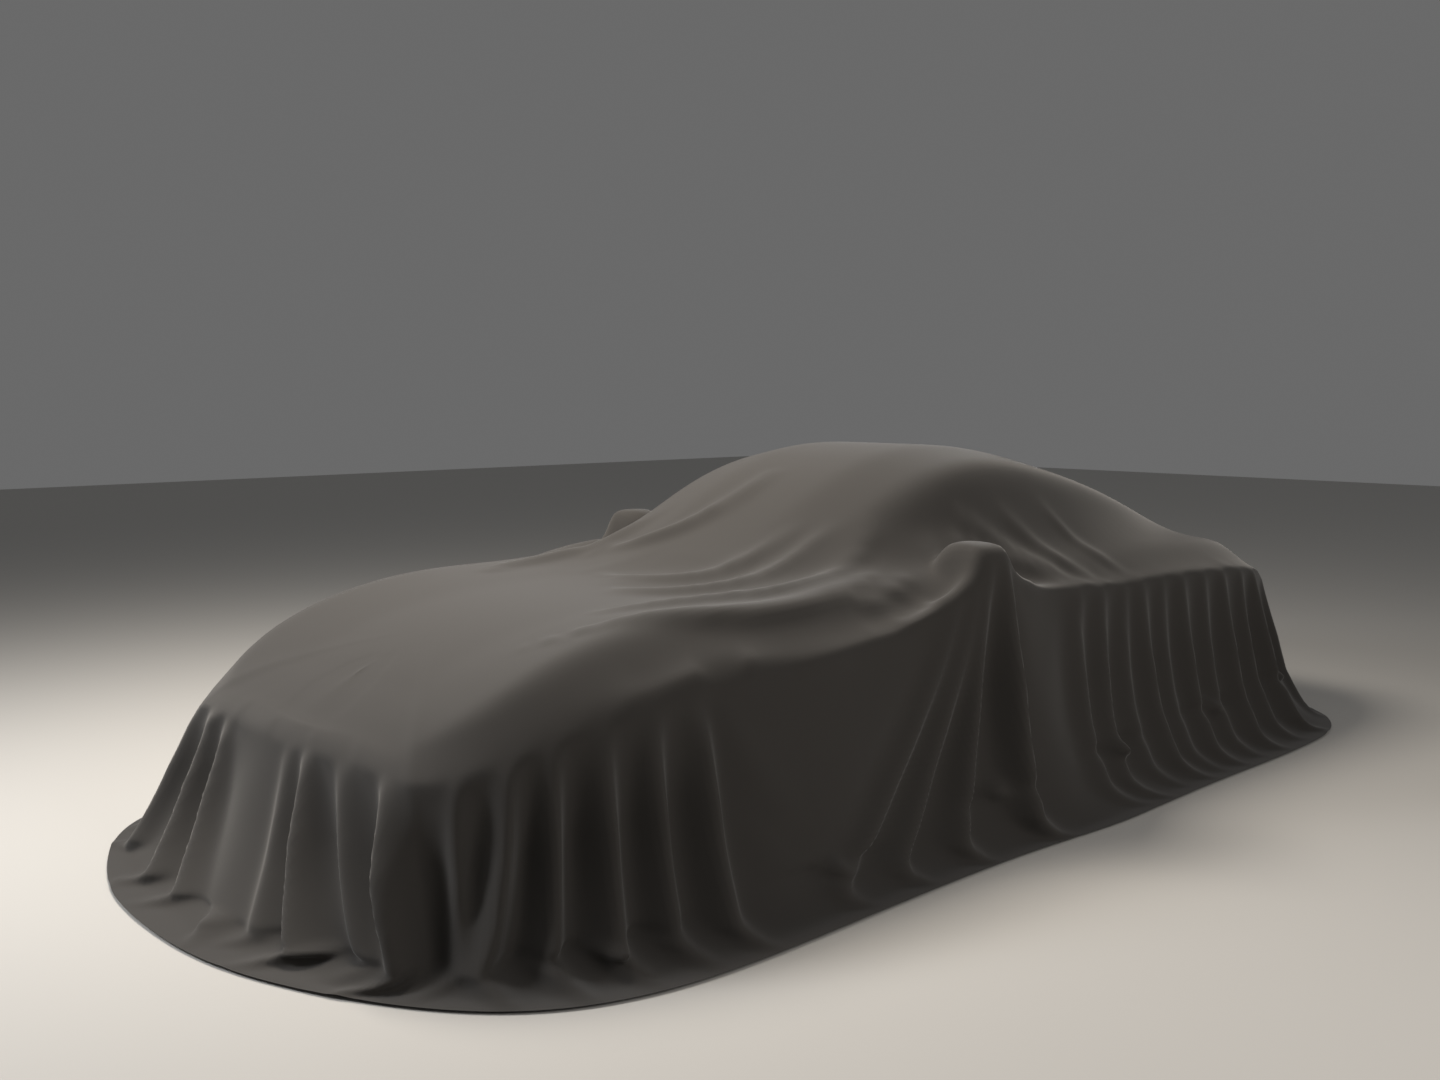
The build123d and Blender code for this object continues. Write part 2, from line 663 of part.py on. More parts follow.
def cabin_frame():
    """Pillars, cantrails and rear deck surround, both sides in one frame."""
    frame = HOUSE & block((TAIL_X, SCREEN_BASE_X), (-OUTSIDE, OUTSIDE), (0, ABOVE))
    frame -= plan_prism(SCREEN_PLAN, (0, ABOVE))
    frame -= plan_prism(BACKLIGHT_PLAN, (0, ABOVE))
    frame -= block((BACKLIGHT_TOP_X, SCREEN_TOP_X), (-ROOF_HALF_WIDTH, ROOF_HALF_WIDTH),
                   (0, ABOVE))
    frame -= block((BOOT_REAR_X - PANEL_GAP, BOOT_FRONT_X + PANEL_GAP),
                   (-BOOT_HALF_WIDTH - PANEL_GAP, BOOT_HALF_WIDTH + PANEL_GAP), (0, ABOVE))
    for outline in (DOOR_GLASS_HOLE, QUARTER_GLASS_SIDE):
        frame -= both_sides(side_prism(outline, (300, OUTSIDE)))
    return frame - both_sides(boot_pin(LID_PIN_RADIUS + RUNNING_GAP, LID_PIN_END_GAP))


def roof_panel():
    """The roof skin between the cantrails."""
    return HOUSE & block((BACKLIGHT_TOP_X, SCREEN_TOP_X), (-ROOF_HALF_WIDTH, ROOF_HALF_WIDTH),
                         (0, ABOVE))


def windscreen():
    """Curved windscreen, bonded between the front pillars."""
    return GLAZING & plan_prism(SCREEN_PLAN, (0, ABOVE))


def rear_window():
    """Long sloping rear window."""
    return GLAZING & plan_prism(BACKLIGHT_PLAN, (0, ABOVE))


def quarter_window():
    """Small fixed window behind the left door."""
    return GLAZING & side_prism(QUARTER_GLASS_SIDE, (300, OUTSIDE))


def boot_pin(radius, end_gap):
    """Left hinge pin of the boot lid, into the deck surround."""
    return along_y(BOOT_HINGE_X, BOOT_HINGE_Z, radius,
                   (BOOT_HALF_WIDTH - 20, BOOT_HALF_WIDTH + 34 + end_gap))


def boot_lid():
    """Boot lid with its hinge pins. Its front edge dives under the rear window as it opens, and
    its rear edge is raked to swing clear of the tail."""
    front_x = BOOT_HINGE_X + BOOT_EDGE_LEAD
    outline = [(front_x, 0), (front_x, ABOVE), (BOOT_REAR_X, ABOVE), (BOOT_REAR_X, BOOT_RAKE_TOP_Z),
               (BOOT_REAR_X + BOOT_REAR_RAKE * BOOT_RAKE_TOP_Z, 0)]
    lid = HOUSE & side_prism(outline, (-BOOT_HALF_WIDTH, BOOT_HALF_WIDTH))
    return lid + both_sides(boot_pin(LID_PIN_RADIUS, 0))


def hinge_notch():
    """The room that the door's hinge leaf needs in its inner front corner."""
    leaf = (DOOR_HINGE_Z - HINGE_ROOM_Z, DOOR_HINGE_Z + DOOR_HINGE_HEIGHT + HINGE_ROOM_Z)
    notch = block((DOOR_HINGE_X - HINGE_NOTCH_RADIUS + 1, DOOR_FRONT_X),
                  (HINGE_NOTCH_INNER_Y, DOOR_HINGE_Y), leaf)
    notch += block((DOOR_HINGE_X, DOOR_FRONT_X),
                   (HINGE_NOTCH_INNER_Y, DOOR_HINGE_Y + HINGE_NOTCH_RADIUS), leaf)
    return notch + upright(DOOR_HINGE_X, DOOR_HINGE_Y, HINGE_NOTCH_RADIUS, leaf)


def door_shelf_cut():
    """The door's inner front corner under the screen pillar, cut back to what swings clear."""
    height = (DOOR_SHELF_FOOT_Z, DOOR_TOP_Z)
    corner = block((DOOR_SHELF_REAR_X, DOOR_FRONT_X), (DOOR_SHELF_INNER_Y, DOOR_HINGE_Y), height)
    return corner - upright(DOOR_HINGE_X, DOOR_HINGE_Y, DOOR_SHELF_RADIUS, height)


def door():
    """Full-thickness door with its hinge pin and the socket for the sill pivot."""
    panel = CABIN_SIDE & DOOR_BLOCK
    panel -= hinge_notch()
    panel -= door_shelf_cut()
    panel += upright(DOOR_HINGE_X, DOOR_HINGE_Y, DOOR_PIN_RADIUS,
                     (DOOR_HINGE_Z - 10, DOOR_HINGE_Z + DOOR_HINGE_HEIGHT + 10))
    return panel - upright(DOOR_HINGE_X, DOOR_HINGE_Y, DOOR_PIN_RADIUS + RUNNING_GAP,
                           (SILL_TOP_Z - 1, SILL_TOP_Z + DOOR_PIN_LENGTH))


def door_hinge():
    """Left hinge leaf on the bulkhead, with the pivot pin that stands in the sill."""
    leaf = (DOOR_HINGE_Z, DOOR_HINGE_Z + DOOR_HINGE_HEIGHT)
    half = HINGE_LEAF_HALF_WIDTH
    arm = block((DOOR_HINGE_X - half, DOOR_HINGE_X + half), (HINGE_LEAF_Y, DOOR_HINGE_Y), leaf)
    arm += block((DOOR_HINGE_X - half, BULKHEAD_X), (HINGE_LEAF_Y, HINGE_LEAF_Y + 20), leaf)
    arm += upright(DOOR_HINGE_X, DOOR_HINGE_Y, HINGE_EYE_RADIUS, leaf)
    return arm - upright(DOOR_HINGE_X, DOOR_HINGE_Y, DOOR_PIN_RADIUS + RUNNING_GAP,
                         (leaf[0] - 1, leaf[1] + 1))


def sill_pivot():
    """The pin that the door's lower corner turns on."""
    return upright(DOOR_HINGE_X, DOOR_HINGE_Y, DOOR_PIN_RADIUS,
                   (SILL_TOP_Z - 30, SILL_TOP_Z + DOOR_PIN_LENGTH - 8))


def door_glass():
    """Frameless side window, standing in the door."""
    return GLAZING & side_prism(DOOR_GLASS_SIDE, (300, OUTSIDE))


def mirror_housing():
    """Left door mirror: a rounded housing on an arm that stands on the door."""
    half = (MIRROR_LENGTH / 2, MIRROR_SPAN / 2, MIRROR_HEIGHT / 2)
    shell = soft_block((MIRROR_X - half[0], MIRROR_X + half[0]),
                       (MIRROR_Y - half[1], MIRROR_Y + half[1]),
                       (MIRROR_Z - half[2], MIRROR_Z + half[2]), 34)
    shell -= soft_block((MIRROR_X - half[0] - 40, MIRROR_X - half[0] + 14),
                        (MIRROR_Y - half[1] + 14, MIRROR_Y + half[1] - 14),
                        (MIRROR_Z - half[2] + 14, MIRROR_Z + half[2] - 14), 12)
    shell += block((MIRROR_X - 30, MIRROR_X + 40), (MIRROR_Y - half[1] - 28, MIRROR_Y - 30),
                   (850, MIRROR_Z - half[2] + 20))
    return shell - CABIN_SIDE


# Structure


def floor_pan():
    """Floor, tunnel, bulkheads, rails and strut towers, one welded underbody."""
    pan = block((HEELBOARD_X, BULKHEAD_X), (-FLOOR_HALF_WIDTH, FLOOR_HALF_WIDTH),
                (FLOOR_Z, FLOOR_Z + FLOOR_THICKNESS))
    pan -= wheel_spaces_behind()
    pan += block((HEELBOARD_X, BULKHEAD_X), (-TUNNEL_HALF_WIDTH, TUNNEL_HALF_WIDTH),
                 (FLOOR_Z, TUNNEL_TOP_Z))
    pan += bulkhead()
    pan += block((HEELBOARD_X, HEELBOARD_X + BULKHEAD_THICKNESS),
                 (-REAR_FLOOR_HALF_WIDTH, REAR_FLOOR_HALF_WIDTH),
                 (FLOOR_Z, REAR_FLOOR_Z + PRESSING_WALL))
    pan += block((TAIL_X + END_WALL, HEELBOARD_X), (-REAR_FLOOR_HALF_WIDTH, REAR_FLOOR_HALF_WIDTH),
                 (REAR_FLOOR_Z, REAR_FLOOR_Z + PRESSING_WALL))
    pan += both_sides(left_rails())
    pan -= block((HEELBOARD_X - 1, BULKHEAD_X + BULKHEAD_THICKNESS + 1),
                 (-TUNNEL_HALF_WIDTH + PRESSING_WALL, TUNNEL_HALF_WIDTH - PRESSING_WALL),
                 (FLOOR_Z - 1, TUNNEL_TOP_Z - PRESSING_WALL))
    return pan


def wheel_spaces_behind():
    """The floor stops at the rear arch liners."""
    space = wheel_space(REAR_AXLE_X, ARCH_RADIUS + LINER_WALL, REAR_FLOOR_HALF_WIDTH)
    return both_sides(space)


def bulkhead():
    """Front bulkhead with the door and bonnet hinges on it."""
    right = [(BULKHEAD_FOOT_HALF_WIDTH, FLOOR_Z), (BULKHEAD_HALF_WIDTH, 720), (770, 792),
             (680, BULKHEAD_TOP_Z)]
    outline = right + [(-y, z) for y, z in reversed(right)]
    stand = Plane(origin=(BULKHEAD_X, 0, 0), x_dir=(0, 1, 0), z_dir=(1, 0, 0))
    plate = stand * extrude(make_face(Polyline(*outline, close=True)), BULKHEAD_THICKNESS)
    plate -= both_sides(DOOR_SWEEP)
    plate += both_sides(door_hinge())
    return plate + both_sides(bonnet_ear())


def bonnet_ear():
    """Left ear on the bulkhead that the bonnet's pin turns in."""
    width = (BONNET_EAR_Y, BONNET_EAR_Y + BONNET_EAR_WIDTH)
    plate_x = BULKHEAD_X + BULKHEAD_THICKNESS / 2
    ear = side_prism([(plate_x, BULKHEAD_TOP_Z - 60), (plate_x, BULKHEAD_TOP_Z - 4),
                      (BONNET_HINGE_X - 7, BONNET_HINGE_Z - 6), (BONNET_HINGE_X + 8, BONNET_HINGE_Z),
                      (BONNET_HINGE_X + 8, BONNET_HINGE_Z - 40)], width)
    ear += along_y(BONNET_HINGE_X, BONNET_HINGE_Z, BONNET_EAR_RADIUS, width)
    return ear - along_y(BONNET_HINGE_X, BONNET_HINGE_Z, LID_PIN_RADIUS + RUNNING_GAP,
                         (width[0] - 1, width[1] + 1))


def left_rails():
    """Left chassis rails, strut tower and the halves of the crossmembers."""
    rail_top = RAIL_Z + RAIL_HEIGHT
    beam_x = NOSE_X - END_WALL
    rails = block((BULKHEAD_X, beam_x), (RAIL_INNER_Y, RAIL_OUTER_Y), (RAIL_Z, rail_top))
    rails += block((beam_x - 55, beam_x), (0, CRASH_BEAM_HALF_WIDTH), (RAIL_Z + 10, rail_top))
    rails += block((FRONT_AXLE_X - TOWER_HALF_LENGTH, FRONT_AXLE_X + TOWER_HALF_LENGTH),
                   (RAIL_INNER_Y + 20, FRONT_LINER_INNER_Y - LINER_WALL), (RAIL_Z, 700))
    rails += block((FRONT_AXLE_X - CROSSMEMBER_HALF_LENGTH, FRONT_AXLE_X + CROSSMEMBER_HALF_LENGTH),
                   (0, RAIL_OUTER_Y), (CROSSMEMBER_Z, CROSSMEMBER_Z + CROSSMEMBER_HEIGHT))
    rails += block((REAR_BUMPER_X, HEELBOARD_X), (RAIL_INNER_Y, RAIL_OUTER_Y),
                   (REAR_RAIL_Z, REAR_FLOOR_Z))
    return rails


# Machinery


def engine_block():
    """Engine, one plain block on the front crossmember."""
    base_z = CROSSMEMBER_Z + CROSSMEMBER_HEIGHT
    return soft_block((ENGINE_FRONT_X - ENGINE_LENGTH, ENGINE_FRONT_X),
                      (-ENGINE_HALF_WIDTH, ENGINE_HALF_WIDTH),
                      (base_z, base_z + ENGINE_HEIGHT), 12)


def radiator():
    """Radiator between the rails, behind the grille."""
    front_x = NOSE_X - END_WALL - 60
    return block((front_x - RADIATOR_DEPTH, front_x), (-RAIL_INNER_Y, RAIL_INNER_Y),
                 (GRILLE_Z, RAIL_Z + RAIL_HEIGHT + 60))


def exhaust():
    """Pipe in the tunnel, silencer under the boot floor and two tailpipes."""
    pipe = bar((ENGINE_FRONT_X - ENGINE_LENGTH - 60, 0, EXHAUST_Z),
               (SILENCER_X, 0, EXHAUST_Z), EXHAUST_RADIUS)
    hanger_top = TUNNEL_TOP_Z - PRESSING_WALL
    for x in (500, -600):
        pipe += upright(x, 0, 8, (EXHAUST_Z, hanger_top))
    can_z = TAILPIPE_Z - 20
    can = along_y(SILENCER_X, can_z, SILENCER_RADIUS, (-400, 400))
    can += upright(SILENCER_X, 0, EXHAUST_RADIUS, (EXHAUST_Z, can_z))
    can += pipe + Pos(SILENCER_X, 0, EXHAUST_Z) * Sphere(EXHAUST_RADIUS)
    can += both_sides(upright(SILENCER_X, 300, 8, (can_z, REAR_FLOOR_Z)))
    tail = bar((SILENCER_X, TAILPIPE_Y, TAILPIPE_Z), (TAIL_X - 6, TAILPIPE_Y, TAILPIPE_Z),
               TAILPIPE_RADIUS)
    tail += along_y(SILENCER_X, TAILPIPE_Z, TAILPIPE_RADIUS, (380, TAILPIPE_Y))
    tail += Pos(SILENCER_X, TAILPIPE_Y, TAILPIPE_Z) * Sphere(TAILPIPE_RADIUS)
    tail -= bar((TAIL_X + 150, TAILPIPE_Y, TAILPIPE_Z), (TAIL_X - 7, TAILPIPE_Y, TAILPIPE_Z),
                TAILPIPE_RADIUS - TAILPIPE_WALL)
    return can + both_sides(tail)


def wishbone(x, z, root_z):
    """Left wishbone: two bars from the frame to an eye round the kingpin."""
    low = z - EYE_HEIGHT / 2
    arm = upright(x, KINGPIN_Y, EYE_RADIUS, (low, low + EYE_HEIGHT))
    for side in (-1, 1):
        arm += bar((x + side * ARM_SPREAD, ARM_ROOT_Y, root_z), (x, KINGPIN_Y - 20, z), ARM_RADIUS)
    return arm - upright(x, KINGPIN_Y, KINGPIN_RADIUS + RUNNING_GAP, (low - 1, low + EYE_HEIGHT + 1))


def damper(x, foot_z, top_z, top_y):
    """Left coil spring and damper, as one closed form."""
    strut = bar((x, DAMPER_FOOT_Y, foot_z), (x, top_y, top_z), DAMPER_ROD_RADIUS)
    run = Vector(0, top_y - DAMPER_FOOT_Y, top_z - foot_z)
    low = Vector(x, DAMPER_FOOT_Y, foot_z) + run * 0.34
    high = Vector(x, DAMPER_FOOT_Y, foot_z) + run * 0.93
    return strut + bar(tuple(low), tuple(high), COIL_RADIUS)


def suspension(x, top_z):
    """Left wishbones and damper at one axle, with the bar that ties their feet."""
    lower_z = TYRE_RADIUS - KINGPIN_HALF_HEIGHT
    upper_z = TYRE_RADIUS + KINGPIN_HALF_HEIGHT
    corner = wishbone(x, lower_z, CROSSMEMBER_Z + 20)
    corner += wishbone(x, upper_z, upper_z)
    corner += damper(x, lower_z, top_z, DAMPER_Y)
    foot = (DAMPER_FOOT_Y - 10, lower_z + 12)
    return corner + bar((x - 90, *foot), (x + 90, *foot), FOOT_BAR_RADIUS)


def front_suspension():
    """Both front corners, carried by the crossmember and the towers."""
    corner = suspension(FRONT_AXLE_X, TYRE_RADIUS + FRONT_LINER_RADIUS - DAMPER_TOP_GAP)
    for x in (FRONT_AXLE_X - ARM_SPREAD, FRONT_AXLE_X + ARM_SPREAD):
        mount_x = (x - MOUNT_HALF_WIDTH, x + MOUNT_HALF_WIDTH)
        corner += block(mount_x, (RAIL_INNER_Y, RAIL_OUTER_Y), (CROSSMEMBER_Z + 5, RAIL_Z))
        corner += block(mount_x, (RAIL_INNER_Y, RAIL_OUTER_Y), (RAIL_Z + RAIL_HEIGHT, 510))
    return both_sides(corner)


def rear_axle():
    """Final drive, half shafts, wishbones, hub carriers and calipers, one assembly."""
    corner = suspension(REAR_AXLE_X, TYRE_RADIUS + ARCH_RADIUS - DAMPER_TOP_GAP)
    corner += hub_carrier(REAR_AXLE_X, 1)
    corner += along_y(REAR_AXLE_X, TYRE_RADIUS, HALF_SHAFT_RADIUS, (0, KINGPIN_Y))
    for x in (REAR_AXLE_X - ARM_SPREAD, REAR_AXLE_X + ARM_SPREAD):
        mount_x = (x - MOUNT_HALF_WIDTH, x + MOUNT_HALF_WIDTH)
        corner += block(mount_x, (RAIL_INNER_Y, RAIL_OUTER_Y), (CROSSMEMBER_Z, REAR_RAIL_Z))
        corner += block(mount_x, (0, RAIL_OUTER_Y), (CROSSMEMBER_Z, CROSSMEMBER_Z + 30))
    corner -= block((REAR_BUMPER_X, HEELBOARD_X), (RAIL_INNER_Y, RAIL_OUTER_Y),
                    (REAR_RAIL_Z, REAR_FLOOR_Z))
    whole = both_sides(corner)
    return whole + Pos(REAR_AXLE_X, 0, TYRE_RADIUS) * Sphere(AXLE_CASE_RADIUS)


def hub_carrier(x, caliper_side):
    """Left upright with its kingpin ends, spindle and brake caliper."""
    low_z = TYRE_RADIUS - KINGPIN_HALF_HEIGHT
    high_z = TYRE_RADIUS + KINGPIN_HALF_HEIGHT
    inner = EYE_HEIGHT / 2 + RUNNING_GAP
    carrier = block((x - UPRIGHT_DEPTH / 2, x + UPRIGHT_DEPTH / 2),
                    (KINGPIN_Y - UPRIGHT_DEPTH / 2, KINGPIN_Y + UPRIGHT_DEPTH / 2),
                    (low_z + inner + UPRIGHT_BOSS_HEIGHT, high_z - inner - UPRIGHT_BOSS_HEIGHT))
    carrier += upright(x, KINGPIN_Y, UPRIGHT_DEPTH / 2, (low_z + inner, high_z - inner))
    carrier += upright(x, KINGPIN_Y, KINGPIN_RADIUS, (low_z - inner - 6, high_z + inner + 6))
    carrier += along_y(x, TYRE_RADIUS, HUB_RADIUS - 12, (KINGPIN_Y - 12, DISC_Y - DISC_THICKNESS))
    carrier += along_y(x, TYRE_RADIUS, SPINDLE_RADIUS, (KINGPIN_Y, DISC_Y + SPINDLE_LENGTH))
    return carrier + caliper(x, caliper_side)


def caliper(x, side):
    """Brake caliper round the edge of the disc, on an arm from the upright."""
    inner = DISC_RADIUS - 58
    outer = RIM_RADIUS - RIM_WELL_DROP - RIM_WALL - CALIPER_GAP
    ring = along_y(x, TYRE_RADIUS, outer, (DISC_Y - CALIPER_HALF_SPAN, DISC_Y + CALIPER_HALF_SPAN))
    ring -= along_y(x, TYRE_RADIUS, inner,
                    (DISC_Y - CALIPER_HALF_SPAN - 1, DISC_Y + CALIPER_HALF_SPAN + 1))
    slot = DISC_THICKNESS / 2 + 2
    ring -= along_y(x, TYRE_RADIUS, DISC_RADIUS + 4, (DISC_Y - slot, DISC_Y + slot))
    half = RIM_RADIUS * math.sin(math.radians(CALIPER_ANGLE))
    sector = block(tuple(sorted((x + side * 90, x + side * RIM_RADIUS))),
                   (KINGPIN_Y, OUTSIDE), (TYRE_RADIUS - half, TYRE_RADIUS + half))
    arm = block(tuple(sorted((x, x + side * (inner + 20)))),
                (KINGPIN_Y - 14, DISC_Y - DISC_THICKNESS),
                (TYRE_RADIUS - 28, TYRE_RADIUS + 28))
    return (ring & sector) + arm


def brake_disc(x):
    """Left disc with its hat, turning round the spindle."""
    disc = along_y(x, TYRE_RADIUS, DISC_RADIUS,
                   (DISC_Y - DISC_THICKNESS / 2, DISC_Y + DISC_THICKNESS / 2))
    disc += along_y(x, TYRE_RADIUS, DISC_HAT_RADIUS, (DISC_Y, WHEEL_FACE_Y))
    disc -= along_y(x, TYRE_RADIUS, DISC_HAT_RADIUS - DISC_HAT_WALL,
                    (DISC_Y - DISC_THICKNESS, WHEEL_FACE_Y - DISC_HAT_WALL))
    return disc - along_y(x, TYRE_RADIUS, SPINDLE_RADIUS + RUNNING_GAP, (DISC_Y - 60, WHEEL_FACE_Y + 1))


def rim(x):
    """Left wheel: rolled barrel, ten spokes and a hub that sits on the disc."""
    half = TYRE_WIDTH / 2 - 6
    well = RIM_RADIUS - RIM_WELL_DROP
    outline = [(-half, RIM_RADIUS + RIM_LIP), (-half, RIM_RADIUS - RIM_WALL),
               (-RIM_WELL_WIDTH / 2, well - RIM_WALL), (RIM_WELL_WIDTH / 2, well - RIM_WALL),
               (half, RIM_RADIUS - RIM_WALL), (half, RIM_RADIUS + RIM_LIP),
               (half - 7, RIM_RADIUS + RIM_LIP), (half - 7, RIM_RADIUS),
               (RIM_WELL_WIDTH / 2, well), (-RIM_WELL_WIDTH / 2, well),
               (-half + 7, RIM_RADIUS), (-half + 7, RIM_RADIUS + RIM_LIP)]
    barrel = wheel_turned(x, outline)
    face_y = WHEEL_Y + half - SPOKE_SETBACK
    for index in range(SPOKE_COUNT):
        barrel += spoke(x, face_y, 360 * index / SPOKE_COUNT)
    barrel += along_y(x, TYRE_RADIUS, HUB_RADIUS, (WHEEL_FACE_Y, face_y))
    bore = SPINDLE_RADIUS + RUNNING_GAP
    return barrel - along_y(x, TYRE_RADIUS, bore, (WHEEL_FACE_Y - 1, DISC_Y + SPINDLE_LENGTH + 1))


def spoke(x, face_y, angle):
    """One tapered spoke, from hub to barrel."""
    outline = [(HUB_RADIUS - 22, -SPOKE_ROOT_WIDTH / 2), (RIM_RADIUS - 5, -SPOKE_TIP_WIDTH / 2),
               (RIM_RADIUS - 5, SPOKE_TIP_WIDTH / 2), (HUB_RADIUS - 22, SPOKE_ROOT_WIDTH / 2)]
    face = make_face(Polyline(*outline, close=True))
    blade = extrude(face, SPOKE_DEPTH)
    stand = Plane(origin=(x, face_y, TYRE_RADIUS), x_dir=(1, 0, 0), z_dir=(0, -1, 0))
    return stand * Rot(0, 0, angle) * blade


def wheel_turned(x, outline):
    """A ring turned about the wheel's axle, from (distance out, radius) points."""
    face = make_face(Polyline(*[(radius, out) for out, radius in outline], close=True))
    ring = revolve(face, Axis.Y)
    return Pos(x, WHEEL_Y, TYRE_RADIUS) * ring


def tyre(x):
    """Left tyre, seated on the rim between its lips."""
    half = TYRE_WIDTH / 2
    bead = half - 13.5
    outline = [(-bead, RIM_RADIUS + 0.2), (-bead, RIM_RADIUS + 12), (-half, RIM_RADIUS + 40),
               (-half, TYRE_RADIUS - TYRE_SHOULDER), (-half + TYRE_SHOULDER * 0.8, TYRE_RADIUS),
               (half - TYRE_SHOULDER * 0.8, TYRE_RADIUS), (half, TYRE_RADIUS - TYRE_SHOULDER),
               (half, RIM_RADIUS + 40), (bead, RIM_RADIUS + 12), (bead, RIM_RADIUS + 0.2)]
    return wheel_turned(x, outline)


# Cabin


def seat():
    """Left front seat: rails, cushion, reclined backrest and headrest."""
    y = SEAT_Y
    half = SEAT_WIDTH / 2
    cushion_z = CUSHION_TOP_Z - CUSHION_THICKNESS
    rear_x = CUSHION_FRONT_X - CUSHION_LENGTH
    base = block((rear_x + 40, CUSHION_FRONT_X - 60), (y - half + 60, y + half - 60),
                 (FLOOR_Z + FLOOR_THICKNESS, cushion_z + 10))
    cushion = soft_block((rear_x, CUSHION_FRONT_X), (y - half, y + half),
                         (cushion_z, CUSHION_TOP_Z), 45)
    back = soft_block((-BACKREST_THICKNESS, 0), (-half, half), (0, BACKREST_HEIGHT), 45)
    rest = soft_block((-BACKREST_THICKNESS + 15, -BACKREST_THICKNESS + 15 + HEADREST_THICKNESS),
                      (-HEADREST_WIDTH / 2, HEADREST_WIDTH / 2),
                      (BACKREST_HEIGHT - 30, BACKREST_HEIGHT - 30 + HEADREST_HEIGHT), 38)
    lean = Pos(rear_x + 90, y, cushion_z + 20) * Rot(0, -BACKREST_LEAN, 0)
    return base + cushion + lean * (back + rest)


def rear_seat():
    """Two small rear seats joined in the middle, on the floor and the heelboard."""
    wide = 500
    front_x = HEELBOARD_X + BULKHEAD_THICKNESS + 420
    cushion = soft_block((HEELBOARD_X + BULKHEAD_THICKNESS, front_x), (-wide, wide),
                         (TUNNEL_TOP_Z, TUNNEL_TOP_Z + 110), 35)
    cushion += both_sides(block((HEELBOARD_X + BULKHEAD_THICKNESS, front_x - 60), (180, wide - 30),
                                (FLOOR_Z + FLOOR_THICKNESS, TUNNEL_TOP_Z + 40)))
    back = soft_block((-105, 0), (-wide, wide), (0, 500), 40)
    lean = Pos(HEELBOARD_X + BULKHEAD_THICKNESS + 125, 0, TUNNEL_TOP_Z + 60) * Rot(0, -14, 0)
    return cushion + lean * back - block((REAR_AXLE_X, HEELBOARD_X + BULKHEAD_THICKNESS),
                                         (-OUTSIDE, OUTSIDE), (0, REAR_FLOOR_Z + PRESSING_WALL))


def dashboard():
    """Padded dashboard across the cabin, with the steering column it carries."""
    back_x = BULKHEAD_X
    outline = [(back_x, 560), (back_x, 838), (back_x - 120, 842), (back_x - DASH_DEPTH + 40, 815),
               (back_x - DASH_DEPTH, 760), (back_x - DASH_DEPTH + 30, 640), (back_x - 180, 560)]
    radii = [0, 20, 40, 45, 40, 50, 0]
    face = Plane.XZ * make_face(FilletPolyline(*outline, radius=radii, close=True))
    body = Pos(0, -640, 0) * extrude(face, 1280, dir=(0, 1, 0))
    return body + column()


def column_axis():
    """Direction from the dashboard to the driver along the steering column."""
    tilt = math.radians(COLUMN_TILT)
    return Vector(-math.cos(tilt), 0, math.sin(tilt))


def column():
    """Steering column shroud, up to just short of the wheel's hub."""
    axis = column_axis()
    hub = Vector(STEERING_X, SEAT_Y, STEERING_Z)
    start = hub - axis * 330
    end = hub - axis * (32 + RUNNING_GAP)
    return bar(tuple(start), tuple(end), COLUMN_RADIUS)


def steering_wheel():
    """Steering wheel: rim, three spokes and hub, square to its column."""
    axis = column_axis()
    plane = Plane(origin=(STEERING_X, SEAT_Y, STEERING_Z), x_dir=(0, 1, 0), z_dir=tuple(axis))
    wheel = Torus(STEERING_RIM_RADIUS, STEERING_RIM_SECTION)
    wheel += Pos(0, 0, -12) * Cylinder(52, 40)
    for angle in (0, 180, 270):
        wheel += Rot(0, 0, angle) * Pos(STEERING_RIM_RADIUS / 2, 0, -4) * Box(
            STEERING_RIM_RADIUS, 36, 14)
    return plane * wheel


def centre_console():
    """Console on the tunnel, from the dashboard to the rear seats."""
    outline = [(-480, TUNNEL_TOP_Z), (-480, 520), (-420, 560), (60, 540), (430, 600),
               (560, 640), (580, TUNNEL_TOP_Z)]
    radii = [0, 30, 30, 40, 60, 20, 0]
    face = Plane.XZ * make_face(FilletPolyline(*outline, radius=radii, close=True))
    return Pos(0, -105, 0) * extrude(face, 210, dir=(0, 1, 0)) - dashboard_body_gap()


def dashboard_body_gap():
    """The space of the dashboard, which the console runs up to."""
    return block((BULKHEAD_X - DASH_DEPTH - 2, BULKHEAD_X), (-640, 640), (558, 900))


# Cover


def cover_form(inset):
    """The cover's outer form, or its inside when drawn in by its wall."""
    faces = []
    for x, hem_y, knee_y, knee_z, side_y, side_z, edge_y, edge_z, top_z in COVER_SECTIONS:
        place = math.copysign(abs(x) - inset * 1.6, x)
        floor_z = HEM_LIFT if inset == 0 else -40
        right = [(hem_y - inset, floor_z), (knee_y - inset, knee_z + floor_z),
                 (side_y - inset, side_z - inset * 0.6), (edge_y - inset * 0.5, edge_z - inset),
                 (edge_y * 0.5, top_z - inset)]
        points = right + [(-y, z) for y, z in reversed(right)]
        plane = Plane(origin=(place, 0, 0), x_dir=(0, 1, 0), z_dir=(1, 0, 0))
        faces.append(plane * make_face(Polyline(*points, close=True)))
    return loft(faces, ruled=True)


def cover():
    """Fitted cloth cover, hem on the floor all round."""
    return cover_form(0) - cover_form(COVER_WALL)


